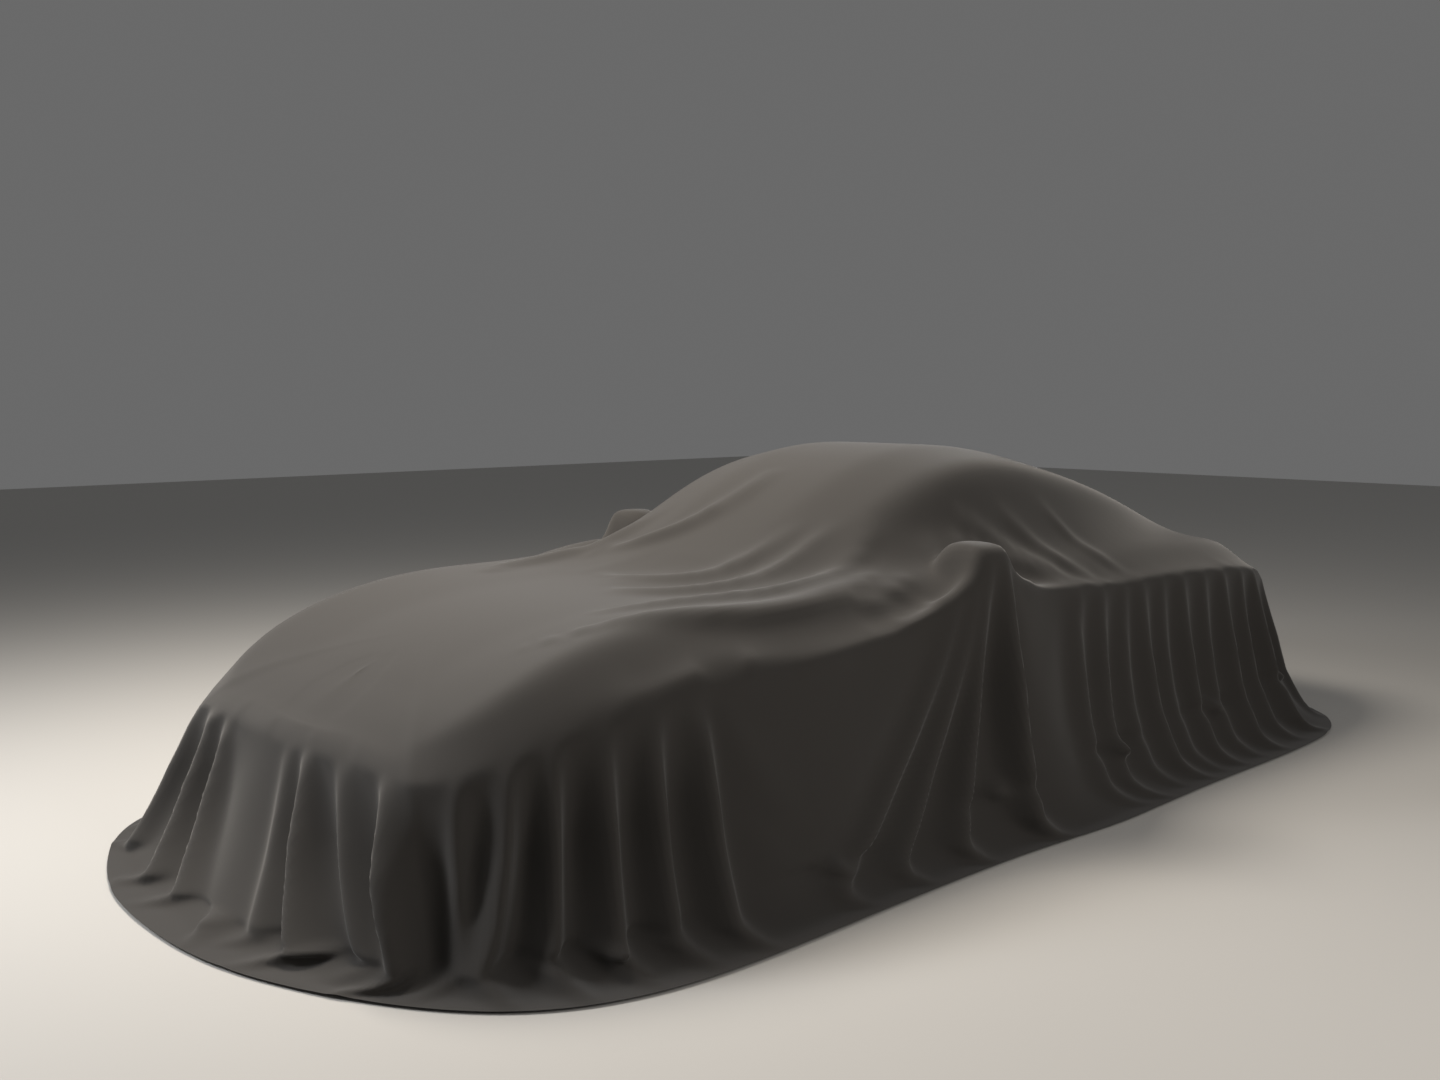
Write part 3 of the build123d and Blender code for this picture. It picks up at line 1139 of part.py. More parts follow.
def write_parts():
    """Every sub-part as a STEP file named after its node."""
    os.makedirs("parts", exist_ok=True)
    pieces = {}
    for node, maker in SINGLE_PIECES:
        pieces[node] = maker()
    for node, maker in PAIRED_PIECES:
        shape = maker()
        pieces[node + "_left"] = shape
        pieces[node + "_right"] = mirrored(shape)
    for node, maker in TWIN_PIECES:
        pieces[node] = both_sides(maker())
    for end, x in (("front", FRONT_AXLE_X), ("rear", REAR_AXLE_X)):
        for name, maker in (("rim", rim), ("tyre", tyre), ("brake_disc", brake_disc)):
            shape = maker(x)
            pieces[f"{name}_{end}_left"] = shape
            pieces[f"{name}_{end}_right"] = mirrored(shape)
    for node, shape in pieces.items():
        export_step(shape, os.path.join("parts", node + ".step"))


SINGLE_PIECES = [
    ("floor_pan", floor_pan), ("cabin_frame", cabin_frame), ("roof_panel", roof_panel),
    ("windscreen", windscreen), ("rear_window", rear_window), ("bonnet", bonnet),
    ("boot_lid", boot_lid), ("front_bumper", front_bumper), ("rear_bumper", rear_bumper),
    ("grille", grille), ("engine_block", engine_block), ("radiator", radiator),
    ("exhaust", exhaust), ("front_suspension", front_suspension), ("rear_axle", rear_axle),
    ("rear_seat", rear_seat), ("dashboard", dashboard), ("steering_wheel", steering_wheel),
    ("centre_console", centre_console), ("cover", cover),
]
PAIRED_PIECES = [
    ("front_wing", front_wing), ("body_side", body_side),
    ("door", door), ("door_glass", door_glass), ("mirror", mirror_housing),
    ("knuckle", lambda: hub_carrier(FRONT_AXLE_X, -1)),
]
TWIN_PIECES = [
    ("quarter_windows", quarter_window), ("headlamps", headlamp), ("tail_lamps", tail_lamp),
    ("front_seats", seat),
]

write_parts()
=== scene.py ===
import math
import bpy
import bmesh
import numpy as np
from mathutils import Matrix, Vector
from mathutils.bvhtree import BVHTree


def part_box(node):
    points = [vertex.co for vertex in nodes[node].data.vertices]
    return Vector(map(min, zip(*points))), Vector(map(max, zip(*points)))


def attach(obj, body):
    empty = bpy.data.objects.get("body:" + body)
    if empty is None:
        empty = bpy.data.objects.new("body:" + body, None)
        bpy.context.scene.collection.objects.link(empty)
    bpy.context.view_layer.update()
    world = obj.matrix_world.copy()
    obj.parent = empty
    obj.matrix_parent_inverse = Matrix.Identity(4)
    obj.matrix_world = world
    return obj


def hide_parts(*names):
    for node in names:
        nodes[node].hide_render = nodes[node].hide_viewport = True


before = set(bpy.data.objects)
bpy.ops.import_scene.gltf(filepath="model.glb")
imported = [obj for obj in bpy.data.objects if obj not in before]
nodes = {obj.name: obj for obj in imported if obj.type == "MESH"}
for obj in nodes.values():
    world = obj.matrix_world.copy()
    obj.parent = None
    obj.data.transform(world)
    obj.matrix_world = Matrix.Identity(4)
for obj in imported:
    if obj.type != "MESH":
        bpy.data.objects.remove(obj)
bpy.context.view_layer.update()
bpy.ops.object.select_all(action="DESELECT")

# Camera
# Stands where the photographer stood: at eye height off the car's left front corner, tilted down
# a little, with a normal wide lens.
CAMERA_PLACE = (4.29, 3.976, 1.57)
CAMERA_DOWN = 6.1155
CAMERA_HEADING = 136.9
camera = bpy.data.objects.new("camera", bpy.data.cameras.new("camera"))
bpy.context.scene.collection.objects.link(camera)
camera.data.lens = 35
camera.data.sensor_width = 36
camera.location = CAMERA_PLACE
camera.rotation_euler = (math.radians(90 - CAMERA_DOWN), 0, math.radians(CAMERA_HEADING))
bpy.context.scene.camera = camera
bpy.context.scene.view_settings.view_transform = "Standard"

# Cover
# A soft charcoal cloth thrown over the whole car down to the floor: taut over bonnet and roof,
# hung in pleats from the edges of the body, tented over the mirrors, its hem spread on the floor.

# where the cloth leaves the body and where its hem lies, left half, from nose to tail
COVER_EDGE = [
    # break x, break y, break z, hem x, hem y, x of the spoke's foot on the centre line
    (2.385, 0.00, 0.500, 2.830, 0.00, 2.15),
    (2.380, 0.30, 0.500, 2.800, 0.36, 2.02),
    (2.350, 0.58, 0.500, 2.690, 0.68, 1.88),
    (2.255, 0.79, 0.530, 2.520, 1.00, 1.74),
    (2.070, 0.92, 0.580, 2.290, 1.24, 1.62),
    (1.800, 0.972, 0.640, 1.930, 1.345, 1.42),
    (1.425, 0.990, 0.700, 1.500, 1.345, 1.15),
    (1.000, 0.990, 0.740, 1.020, 1.330, 0.82),
    (0.600, 0.995, 0.800, 0.630, 1.320, 0.50),
    (0.330, 1.040, 0.940, 0.370, 1.325, 0.27),
    (0.190, 1.078, 1.020, 0.130, 1.340, 0.13),
    (0.040, 1.040, 0.940, -0.130, 1.375, -0.02),
    (-0.250, 0.985, 0.830, -0.420, 1.355, -0.27),
    (-0.900, 0.978, 0.820, -0.960, 1.338, -0.80),
    (-1.500, 0.978, 0.810, -1.520, 1.338, -1.28),
    (-1.980, 0.930, 0.800, -2.090, 1.310, -1.62),
    (-2.240, 0.820, 0.780, -2.430, 1.140, -1.80),
    (-2.360, 0.600, 0.765, -2.610, 0.800, -1.92),
    (-2.385, 0.310, 0.760, -2.730, 0.420, -2.04),
    (-2.390, 0.00, 0.760, -2.770, 0.00, -2.15),
]
# pleats seen in the photo, and one under the far mirror: where each starts at the break and
# where it meets the floor, its height and its half width
COVER_PLEATS = [
    (2.37, -0.55, 2.66, -0.40, 0.056, 0.045),
    (2.37, -0.42, 2.66, -0.16, 0.050, 0.040),
    (2.37, -0.25, 2.70, 0.05, 0.062, 0.045),
    (2.38, 0.02, 2.66, 0.30, 0.031, 0.050),
    (2.38, 0.13, 2.66, 0.48, 0.067, 0.045),
    (2.37, 0.35, 2.60, 0.72, 0.036, 0.060),
    (2.34, 0.60, 2.56, 0.88, 0.073, 0.050),
    (2.26, 0.76, 2.46, 0.98, 0.039, 0.040),
    (2.16, 0.86, 2.40, 1.06, 0.070, 0.050),
    (2.04, 0.93, 2.24, 1.17, 0.073, 0.045),
    (1.89, 0.96, 2.06, 1.24, 0.070, 0.050),
    (1.72, 0.98, 1.86, 1.28, 0.064, 0.045),
    (1.56, 0.98, 1.66, 1.30, 0.059, 0.045),
    (0.38, 1.02, 1.20, 1.25, 0.036, 0.050),
    (0.32, 1.04, 0.92, 1.26, 0.046, 0.050),
    (0.26, 1.05, 0.62, 1.28, 0.054, 0.050),
    (0.16, 1.06, 0.26, 1.33, 0.070, 0.050),
    (0.18, -1.06, 0.14, -1.33, 0.080, 0.060),
    (-0.43, 0.98, -0.28, 1.30, 0.034, 0.050),
    (-0.60, 0.98, -0.44, 1.27, 0.040, 0.045),
    (-0.76, 0.98, -0.64, 1.28, 0.026, 0.040),
    (-0.90, 0.98, -0.82, 1.28, 0.040, 0.045),
    (-1.06, 0.98, -1.00, 1.28, 0.026, 0.040),
    (-1.22, 0.98, -1.14, 1.28, 0.038, 0.045),
    (-1.40, 0.98, -1.34, 1.28, 0.028, 0.040),
    (-1.58, 0.98, -1.52, 1.28, 0.040, 0.045),
    (-1.78, 0.96, -1.74, 1.26, 0.030, 0.040),
    (-1.96, 0.93, -1.96, 1.23, 0.044, 0.045),
]
# the sides the photo doesn't show carry the same kinds of pleat, between these two places on the
# edge: step, height and half width, and how much each pleat sways from the one before
HIDDEN_FROM = (-2.05, 0.91)
HIDDEN_TO = (2.37, -0.66)
HIDDEN_STEP = 0.235
HIDDEN_HEIGHT = 0.038
HIDDEN_HALF_WIDTH = 0.046
SWAY_TURNS = (2.4, 1.7, 3.1)
TOP_SWAY = 0.03
FOOT_SWAY = 0.05
HEIGHT_SWAY = 0.012
STEP_SWAY = 0.25
# folds on top: three points across bonnet, screen and roof side, height, half width
COVER_FOLDS = [
    ((0.74, -0.56), (0.60, -0.18), (0.17, -0.06), 0.030, 0.036),
    ((0.98, -0.30), (0.92, 0.19), (0.48, 0.37), 0.028, 0.038),
    ((1.16, 0.05), (0.98, 0.42), (0.43, 0.48), 0.032, 0.036),
    ((1.95, 0.48), (1.20, 0.80), (0.42, 0.72), 0.030, 0.050),
    ((1.52, 0.40), (0.98, 0.68), (0.34, 0.59), 0.036, 0.040),
    ((0.88, 0.86), (0.62, 0.84), (0.38, 0.80), 0.024, 0.030),
    ((0.26, 0.72), (-0.14, 0.80), (-0.45, 0.99), 0.022, 0.030),
    ((-0.02, 0.68), (-0.26, 0.80), (-0.54, 0.99), 0.022, 0.028),
    ((-0.30, 0.68), (-0.46, 0.82), (-0.68, 0.99), 0.020, 0.028),
    ((-0.62, 0.66), (-0.72, 0.80), (-0.92, 0.98), 0.016, 0.028),
    ((0.86, -0.80), (0.60, -0.76), (0.40, -0.62), 0.028, 0.036),
    ((1.30, -0.55), (0.92, -0.62), (0.50, -0.45), 0.026, 0.040),
    ((0.20, -0.70), (-0.12, -0.82), (-0.46, -0.99), 0.020, 0.030),
    ((-0.40, -0.66), (-0.56, -0.82), (-0.80, -0.98), 0.018, 0.030),
]
# the sheet's mesh: spokes out from the centre line, rings over the top and down the sides
SPOKES = 440
TOP_RINGS = 25
DROP_RINGS = 26
RING_CROWDING = 0.85
COVER_CLEAR = 0.014
SIDE_ROOM = 0.018


def joined_copy(names, title):
    """One mesh object made of copies of CAD nodes, for the cloth to lie on."""
    mesh = bpy.data.meshes.new(title)
    merged = bmesh.new()
    for name in names:
        merged.from_mesh(nodes[name].data)
    merged.to_mesh(mesh)
    merged.free()
    copy = bpy.data.objects.new(title, mesh)
    bpy.context.scene.collection.objects.link(copy)
    return copy


def only(piece):
    """Leaves one piece selected and active."""
    bpy.ops.object.select_all(action="DESELECT")
    piece.select_set(True)
    bpy.context.view_layer.objects.active = piece


def apply_all(piece):
    """Applies every modifier on a piece."""
    only(piece)
    for modifier in list(piece.modifiers):
        bpy.ops.object.modifier_apply(modifier=modifier.name)
    bpy.ops.object.select_all(action="DESELECT")


def tree_of(solid):
    """A tree of an object's faces, to cast rays at."""
    return BVHTree.FromObject(solid, bpy.context.evaluated_depsgraph_get())


SKIN_NODES = ["bonnet", "front_wing_left", "front_wing_right", "front_bumper", "rear_bumper",
              "door_left", "door_right", "door_glass_left", "door_glass_right", "windscreen",
              "rear_window", "roof_panel", "cabin_frame", "body_side_left", "body_side_right",
              "boot_lid", "quarter_windows", "headlamps", "tail_lamps", "mirror_left",
              "mirror_right"]
skin = joined_copy(SKIN_NODES, "cloth_form")
skin_tree = tree_of(skin)

# the outer skin's height on a plan raster: gaps bridged, then eased as a cloth would
CELL = 0.0125
PLAN_HALF_X = 2.55
PLAN_HALF_Y = 1.15
PLAN_FROM_Z = 3.0
NO_SKIN = -1.0
SKIN_LEAST_Z = 0.25
BRIDGE = 3
EASE = 2
EASE_DROP = 0.006
TINY = 1e-6
plan_x = np.arange(-PLAN_HALF_X, PLAN_HALF_X, CELL)
plan_y = np.arange(-PLAN_HALF_Y, PLAN_HALF_Y + CELL / 2, CELL)
plan = np.full((len(plan_x), len(plan_y)), NO_SKIN)
for i, x in enumerate(plan_x):
    for j, y in enumerate(plan_y):
        hit = skin_tree.ray_cast(Vector((x, y, PLAN_FROM_Z)), Vector((0, 0, -1)))
        if hit[0] is not None:
            plan[i, j] = hit[0].z


def shifted(values, reach, pick):
    """The greatest or least of each cell's neighbours."""
    for axis in (0, 1):
        rows = [np.roll(values, step, axis=axis) for step in range(-reach, reach + 1)]
        values = pick(rows, axis=0)
    return values


def eased(values, spread):
    """Each cell averaged with its neighbours."""
    for axis in (0, 1):
        steps = range(-3 * spread, 3 * spread + 1)
        weights = [math.exp(-0.5 * (step / spread) ** 2) for step in steps]
        rows = [np.roll(values, step, axis=axis) * weight for step, weight in zip(steps, weights)]
        values = np.sum(rows, axis=0) / sum(weights)
    return values


plan = shifted(shifted(plan, BRIDGE, np.max), BRIDGE, np.min)
on_car = plan > SKIN_LEAST_Z
weight = np.maximum(eased(on_car.astype(float), EASE), TINY)
heights = eased(np.where(on_car, plan, 0), EASE) / weight
plan = np.where(on_car, np.maximum(heights, plan - EASE_DROP), NO_SKIN)


def skin_height(x, y):
    """Height of the car's outer skin at a place on the plan, or None beside the car."""
    i = min(max((x - plan_x[0]) / CELL, 0), len(plan_x) - 2)
    j = min(max((y - plan_y[0]) / CELL, 0), len(plan_y) - 2)
    a, b = int(i), int(j)
    near = plan[a:a + 2, b:b + 2]
    if near.min() < 0:
        return None if near.max() < 0 else near.max()
    u, v = i - a, j - b
    return float((near[0, 0] * (1 - u) + near[1, 0] * u) * (1 - v)
                 + (near[0, 1] * (1 - u) + near[1, 1] * u) * v)


def level_reach(tree, start_x, toward, z, far):
    """How far a body reaches from a place on the centre line in a level direction, or None."""
    outside = Vector((start_x + far * toward[0], far * toward[1], z))
    hit = tree.ray_cast(outside, Vector((-toward[0], -toward[1], 0)))
    return None if hit[0] is None else far - hit[3]


SKIN_FAR = 2.5
REACH_LEAST_Z = 0.22
REACH_STEP = 0.06


def skin_reach(start_x, toward, z_top):
    """How far the car's outer skin reaches in a level direction, at any height up to a top."""
    reach = 0.0
    for z in np.arange(REACH_LEAST_Z, z_top + REACH_STEP, REACH_STEP):
        reach = max(reach, level_reach(skin_tree, start_x, toward, z, SKIN_FAR) or 0.0)
    return reach


def rounded_loop(values, spread):
    """A closed row of numbers with its corners eased."""
    offsets = np.arange(-3 * spread, 3 * spread + 1)
    weights = np.exp(-0.5 * (offsets / spread) ** 2)
    weights /= weights.sum()
    rows = [np.roll(values, -offset) * weight for offset, weight in zip(offsets, weights)]
    return np.sum(rows, axis=0)


# the spokes: each has its root on the centre line, its break and its place on the hem
SPOKE_EASE = 3
HEM_EASE = 4
HEM_TEST_Z = 0.006
COVER_FAR = 3
edge = np.array(COVER_EDGE)
mirrored = edge[1:-1][::-1] * [1, -1, 1, 1, -1, 1]
loop = np.vstack([edge, mirrored, edge[:1]])
run = np.hypot(*np.diff((loop[:, :2] + loop[:, 3:5]) / 2, axis=0).T)
travel = np.concatenate([[0], np.cumsum(run)])
perimeter = travel[-1]
place = np.arange(SPOKES) * perimeter / SPOKES
spoke = np.column_stack([rounded_loop(np.interp(place, travel, column), SPOKE_EASE)
                         for column in loop.T])
brk, hem, root_x = spoke[:, :3], spoke[:, 3:5], spoke[:, 5]
roots = np.column_stack([root_x, np.zeros(SPOKES)])
wanted = np.zeros(SPOKES)
for k in range(SPOKES):
    away = brk[k, :2] - roots[k]
    toward = away / np.linalg.norm(away)
    wanted[k] = skin_reach(root_x[k], toward, brk[k, 2]) + SIDE_ROOM - np.linalg.norm(away)
wanted = np.maximum(rounded_loop(np.maximum(wanted, 0), SPOKE_EASE), np.maximum(wanted, 0))
cover_tree = tree_of(nodes["cover"])
for k in range(SPOKES):
    away = brk[k, :2] - roots[k]
    brk[k, :2] += away / np.linalg.norm(away) * wanted[k]
    # on the side the photo doesn't show, the hem lies half way to that of the frame's cover
    if hem[k, 1] < 0:
        away = hem[k] - roots[k]
        toward = away / np.linalg.norm(away)
        reach = level_reach(cover_tree, root_x[k], toward, HEM_TEST_Z, COVER_FAR)
        if reach is not None:
            hem[k] = roots[k] + toward * (0.5 * reach + 0.5 * np.linalg.norm(away))
for axis in (0, 1):
    hem[:, axis] = rounded_loop(hem[:, axis], HEM_EASE)


def nearest_place(curve, x, y):
    """Distance along the cover's edge of the point of a curve nearest a place on the plan."""
    return place[np.argmin(np.hypot(curve[:, 0] - x, curve[:, 1] - y))]


# where each pleat starts and ends along the edge
FOOT_OUT = 0.56
foot = brk[:, :2] + (hem - brk[:, :2]) * FOOT_OUT
pleats = []
for top_x, top_y, foot_x, foot_y, height, width in COVER_PLEATS:
    pleats.append((nearest_place(brk, top_x, top_y), nearest_place(foot, foot_x, foot_y),
                   height, width))
hidden_end = nearest_place(brk, *HIDDEN_TO)
step_at = nearest_place(brk, *HIDDEN_FROM) + HIDDEN_STEP
index = 0
while step_at < hidden_end:
    sway = math.sin(index * SWAY_TURNS[0])
    pleats.append((step_at + TOP_SWAY * sway,
                   step_at + FOOT_SWAY * math.sin(index * SWAY_TURNS[1] + 1),
                   HIDDEN_HEIGHT + HEIGHT_SWAY * sway, HIDDEN_HALF_WIDTH))
    step_at += HIDDEN_STEP * (1 + STEP_SWAY * math.sin(index * SWAY_TURNS[2]))
    index += 1

# over the top, the rings lie on the skin as far as the break
BREAK_DROP = 0.16
TOP_EASE = 2
rings = TOP_RINGS + DROP_RINGS + 1
grid = np.zeros((rings, SPOKES, 3))
for ring in range(TOP_RINGS + 1):
    along = (ring / TOP_RINGS) ** RING_CROWDING
    grid[ring, :, 0] = root_x + (brk[:, 0] - root_x) * along
    grid[ring, :, 1] = brk[:, 1] * along
    for k in range(SPOKES):
        z = skin_height(grid[ring, k, 0], grid[ring, k, 1])
        grid[ring, k, 2] = np.nan if z is None else z + COVER_CLEAR
for k in range(SPOKES):
    column = grid[:TOP_RINGS + 1, k, 2]
    column[-1] = brk[k, 2]
    known = ~np.isnan(column)
    shares = np.arange(TOP_RINGS + 1)
    grid[:TOP_RINGS + 1, k, 2] = np.interp(shares, shares[known], column[known])
# the break lies no higher than the ring inside it, and not far below it
inner = grid[TOP_RINGS - 1, :, 2]
brk_z = rounded_loop(np.minimum(np.maximum(brk[:, 2], inner - BREAK_DROP), inner), TOP_EASE)
grid[TOP_RINGS, :, 2] = brk_z
for ring in range(TOP_RINGS + 1):
    grid[ring, :, 2] = np.maximum(grid[ring, :, 2], rounded_loop(grid[ring, :, 2], TOP_EASE))

# down the sides, the rings fall from the break to the hem in a curve: how far out its two middle
# controls are, how high the first is (the second is on the floor), and how much of the frame's
# cover the curve follows half way down
FALL_OUT = (0.10, 0.33)
FALL_LEVEL = 0.48
FOLLOW = 0.35
FOLLOW_SHAPE = 0.7
FOLLOW_SPAN = 7
FOLLOW_EASE = 5
FOLLOW_TEST_Z = 0.004
FOLLOW_INSIDE = 0.012
HEM_LIFT = 0.008
for ring in range(1, DROP_RINGS + 1):
    down = ring / DROP_RINGS
    back = 1 - down
    out = (3 * back ** 2 * down * FALL_OUT[0] + 3 * back * down ** 2 * FALL_OUT[1] + down ** 3)
    level = back ** 3 + 3 * back ** 2 * down * FALL_LEVEL
    follow = FOLLOW * math.sin(math.pi * down) ** FOLLOW_SHAPE
    spot = brk[:, :2] + (hem - brk[:, :2]) * out
    away = np.linalg.norm(spot - roots, axis=1)
    toward = (spot - roots) / away[:, None]
    drawn = np.zeros(SPOKES)
    for k in range(SPOKES):
        test_z = brk_z[k] * level + FOLLOW_TEST_Z
        reach = level_reach(cover_tree, root_x[k], toward[k], test_z, COVER_FAR)
        drawn[k] = 0 if reach is None else reach - FOLLOW_INSIDE - away[k]
    beside = [np.roll(drawn, step) for step in range(-FOLLOW_SPAN, FOLLOW_SPAN + 1)]
    away += rounded_loop(np.median(beside, axis=0), FOLLOW_EASE) * follow
    grid[TOP_RINGS + ring, :, :2] = roots + toward * away[:, None]
    grid[TOP_RINGS + ring, :, 2] = brk_z * level + HEM_LIFT


def ring_mean(rows, ring):
    """A ring averaged with the rings on either side of it."""
    return 0.25 * rows[ring - 1] + 0.5 * rows[ring] + 0.25 * rows[ring + 1]


soft = grid.copy()
for ring in range(2, rings - 1):
    soft[ring] = ring_mean(grid, ring)
soft[1:TOP_RINGS, :, 2] = np.maximum(soft[1:TOP_RINGS, :, 2], grid[1:TOP_RINGS, :, 2])
grid = soft
# over the nose the cloth rolls off the edge without a crease
ROLL_FROM_X = 1.75
ROLL_OVER = 0.35
ROLL_TURNS = 5
ROLL_RINGS = range(TOP_RINGS - 3, TOP_RINGS + 4)
rolled = np.clip((brk[:, 0] - ROLL_FROM_X) / ROLL_OVER, 0, 1)[:, None]
for turn in range(ROLL_TURNS):
    soft = grid.copy()
    for ring in ROLL_RINGS:
        soft[ring] = grid[ring] + (ring_mean(grid, ring) - grid[ring]) * rolled
    grid = soft

tangent = np.roll(brk[:, :2], -1, axis=0) - np.roll(brk[:, :2], 1, axis=0)
outward = np.column_stack([tangent[:, 1], -tangent[:, 0]])
outward /= np.linalg.norm(outward, axis=1)[:, None]
outward *= np.sign(np.sum(outward * (hem - brk[:, :2]), axis=1))[:, None]

# the form that the cloth lies on: the top of the car as a smooth skin, with its sides let down
FORM_CLEAR = 0.002
FORM_RINGS = 6
FORM_DRAW = 0.045
FORM_INSET = 0.035
FORM_DEPTH = 0.97
form = np.zeros((TOP_RINGS + 1 + FORM_RINGS, SPOKES, 3))
form[:TOP_RINGS + 1] = grid[:TOP_RINGS + 1] - [0, 0, COVER_CLEAR - FORM_CLEAR]
for ring in range(1, FORM_RINGS + 1):
    fall = ring / FORM_RINGS
    form[TOP_RINGS + ring, :, :2] = brk[:, :2] * (1 - FORM_DRAW * fall) - outward * FORM_INSET
    form[TOP_RINGS + ring, :, 2] = form[TOP_RINGS, :, 2] * (1 - FORM_DEPTH * fall)

# pleats stand out from the wall and run on, flatter, over the floor: each is a ridge between two
# shallow hollows, and no hollow goes further in than a share of the room behind it
PLEAT_DEPTH = 2.3
PLEAT_FOOT = 0.75
PLEAT_DRIFT = 1.3
PLEAT_SPREAD = 0.3
SWELL = 3.2
SWELL_SHAPE = 0.8
LIE_FROM = 0.72
LIE_OVER = 0.28
LIE_TURN = 0.10
LIE_HEIGHT = 1.1
RIDGE_SHAPE = -1.6
HOLLOW_DEPTH = 0.42
HOLLOW_SPREAD = 2.4
ROOM_SPARE = 0.010
ROOM_SHARE = 0.6
for ring in range(1, DROP_RINGS + 1):
    down = ring / DROP_RINGS
    fall = min(down / PLEAT_FOOT, 1.0)
    lie = max((down - LIE_FROM) / LIE_OVER, 0.0)
    swell = min(1.0, down * SWELL) ** SWELL_SHAPE
    row = grid[TOP_RINGS + ring]
    room = np.sum((row[:, :2] - brk[:, :2]) * outward, axis=1) + ROOM_SPARE
    for start, end, height, width in pleats:
        middle = (start + (end - start) * fall ** PLEAT_DRIFT
                  + LIE_TURN * lie * np.sign(start - end + TINY))
        off = (place - middle + perimeter / 2) % perimeter - perimeter / 2
        spread = width * (1 + PLEAT_SPREAD * fall)
        hollow = HOLLOW_DEPTH * np.exp(-0.5 * (off / (HOLLOW_SPREAD * spread)) ** 2)
        ridge = (1 + (off / spread) ** 2) ** RIDGE_SHAPE - hollow
        push = PLEAT_DEPTH * height * swell * ridge * (1 - lie)
        row[:, :2] += outward * np.maximum(push, -ROOM_SHARE * room)[:, None]
        row[:, 2] += np.maximum(ridge, 0) * height * LIE_HEIGHT * lie * (1 - lie)

# folds on top, each along a curve through its three points
FOLD_DEPTH = 1.8
FOLD_STEPS = 60
FOLD_SHAPE = 0.6
FOLD_SIDE_Z = 0.8
LEAST_NORMAL = 1e-9
top = grid[:TOP_RINGS + 1]
normal = np.cross(np.roll(top, -1, axis=1) - np.roll(top, 1, axis=1), np.gradient(top, axis=0))
normal /= np.maximum(np.linalg.norm(normal, axis=2), LEAST_NORMAL)[:, :, None]
normal *= np.where(normal[:, :, 2] < 0, -1, 1)[:, :, None]
for start, middle, end, height, width in COVER_FOLDS:
    ends = [np.array(point) for point in (start, middle, end)]
    control = 2 * ends[1] - 0.5 * (ends[0] + ends[2])
    lift = np.zeros(top.shape[:2])
    for share in np.linspace(0, 1, FOLD_STEPS):
        spot = ((1 - share) ** 2 * ends[0] + 2 * share * (1 - share) * control
                + share ** 2 * ends[2])
        z = skin_height(spot[0], spot[1])
        spot = np.array([spot[0], spot[1], FOLD_SIDE_Z if z is None else z])
        near = np.linalg.norm(top - spot, axis=2)
        rise = FOLD_DEPTH * height * math.sin(math.pi * share) ** FOLD_SHAPE
        rise = rise * (1 + (near / width) ** 2) ** RIDGE_SHAPE
        lift = np.maximum(lift, rise)
    top += normal * lift[:, :, None]
WELD = 0.0008


def ringed_sheet(rows, title):
    """A sheet of closed rings, welded along its seam and over its middle."""
    bpy.ops.mesh.primitive_grid_add(x_subdivisions=rows.shape[1], y_subdivisions=len(rows) - 1,
                                    size=1)
    sheet = bpy.context.object
    sheet.name = title
    closed = np.concatenate([rows, rows[:, :1]], axis=1)
    sheet.data.vertices.foreach_set("co", closed.reshape(-1))
    sheet.data.update()
    bpy.ops.object.mode_set(mode="EDIT")
    bpy.ops.mesh.select_all(action="SELECT")
    bpy.ops.mesh.remove_doubles(threshold=WELD)
    bpy.ops.mesh.normals_make_consistent(inside=False)
    bpy.ops.object.mode_set(mode="OBJECT")
    return sheet


cover_cloth = ringed_sheet(grid, "cover_cloth")

# the cloth settles on the form and the floor for a few frames, lightly pinned where it was laid
HOLD = 0.25
SETTLE_FRAMES = 12
CLOTH_GAP = 0.004
FORM_GRIP = 8
GROUND_GRIP = 30
body_form = ringed_sheet(form, "body_form")
bpy.ops.mesh.primitive_plane_add(size=9)
ground = bpy.context.object
for solid, grip in ((body_form, FORM_GRIP), (ground, GROUND_GRIP)):
    solid.modifiers.new("solid", "COLLISION")
    solid.collision.thickness_outer = CLOTH_GAP
    solid.collision.cloth_friction = grip
hold = cover_cloth.vertex_groups.new(name="hold")
hold.add(list(range(len(cover_cloth.data.vertices))), HOLD, "REPLACE")
hang = cover_cloth.modifiers.new("hang", "CLOTH")
hang.settings.vertex_group_mass = "hold"
hang.settings.pin_stiffness = 1.0
hang.settings.quality = 6
hang.settings.mass = 0.25
hang.settings.air_damping = 4
hang.settings.tension_stiffness = 40
hang.settings.compression_stiffness = 40
hang.settings.shear_stiffness = 20
hang.settings.bending_stiffness = 1.5
hang.settings.bending_damping = 1.0
hang.collision_settings.collision_quality = 2
hang.collision_settings.distance_min = 0.006
hang.collision_settings.use_self_collision = False
hang.point_cache.frame_end = SETTLE_FRAMES
for step in range(1, SETTLE_FRAMES + 1):
    bpy.context.scene.frame_set(step)
apply_all(cover_cloth)
bpy.data.objects.remove(ground)
bpy.data.objects.remove(body_form)

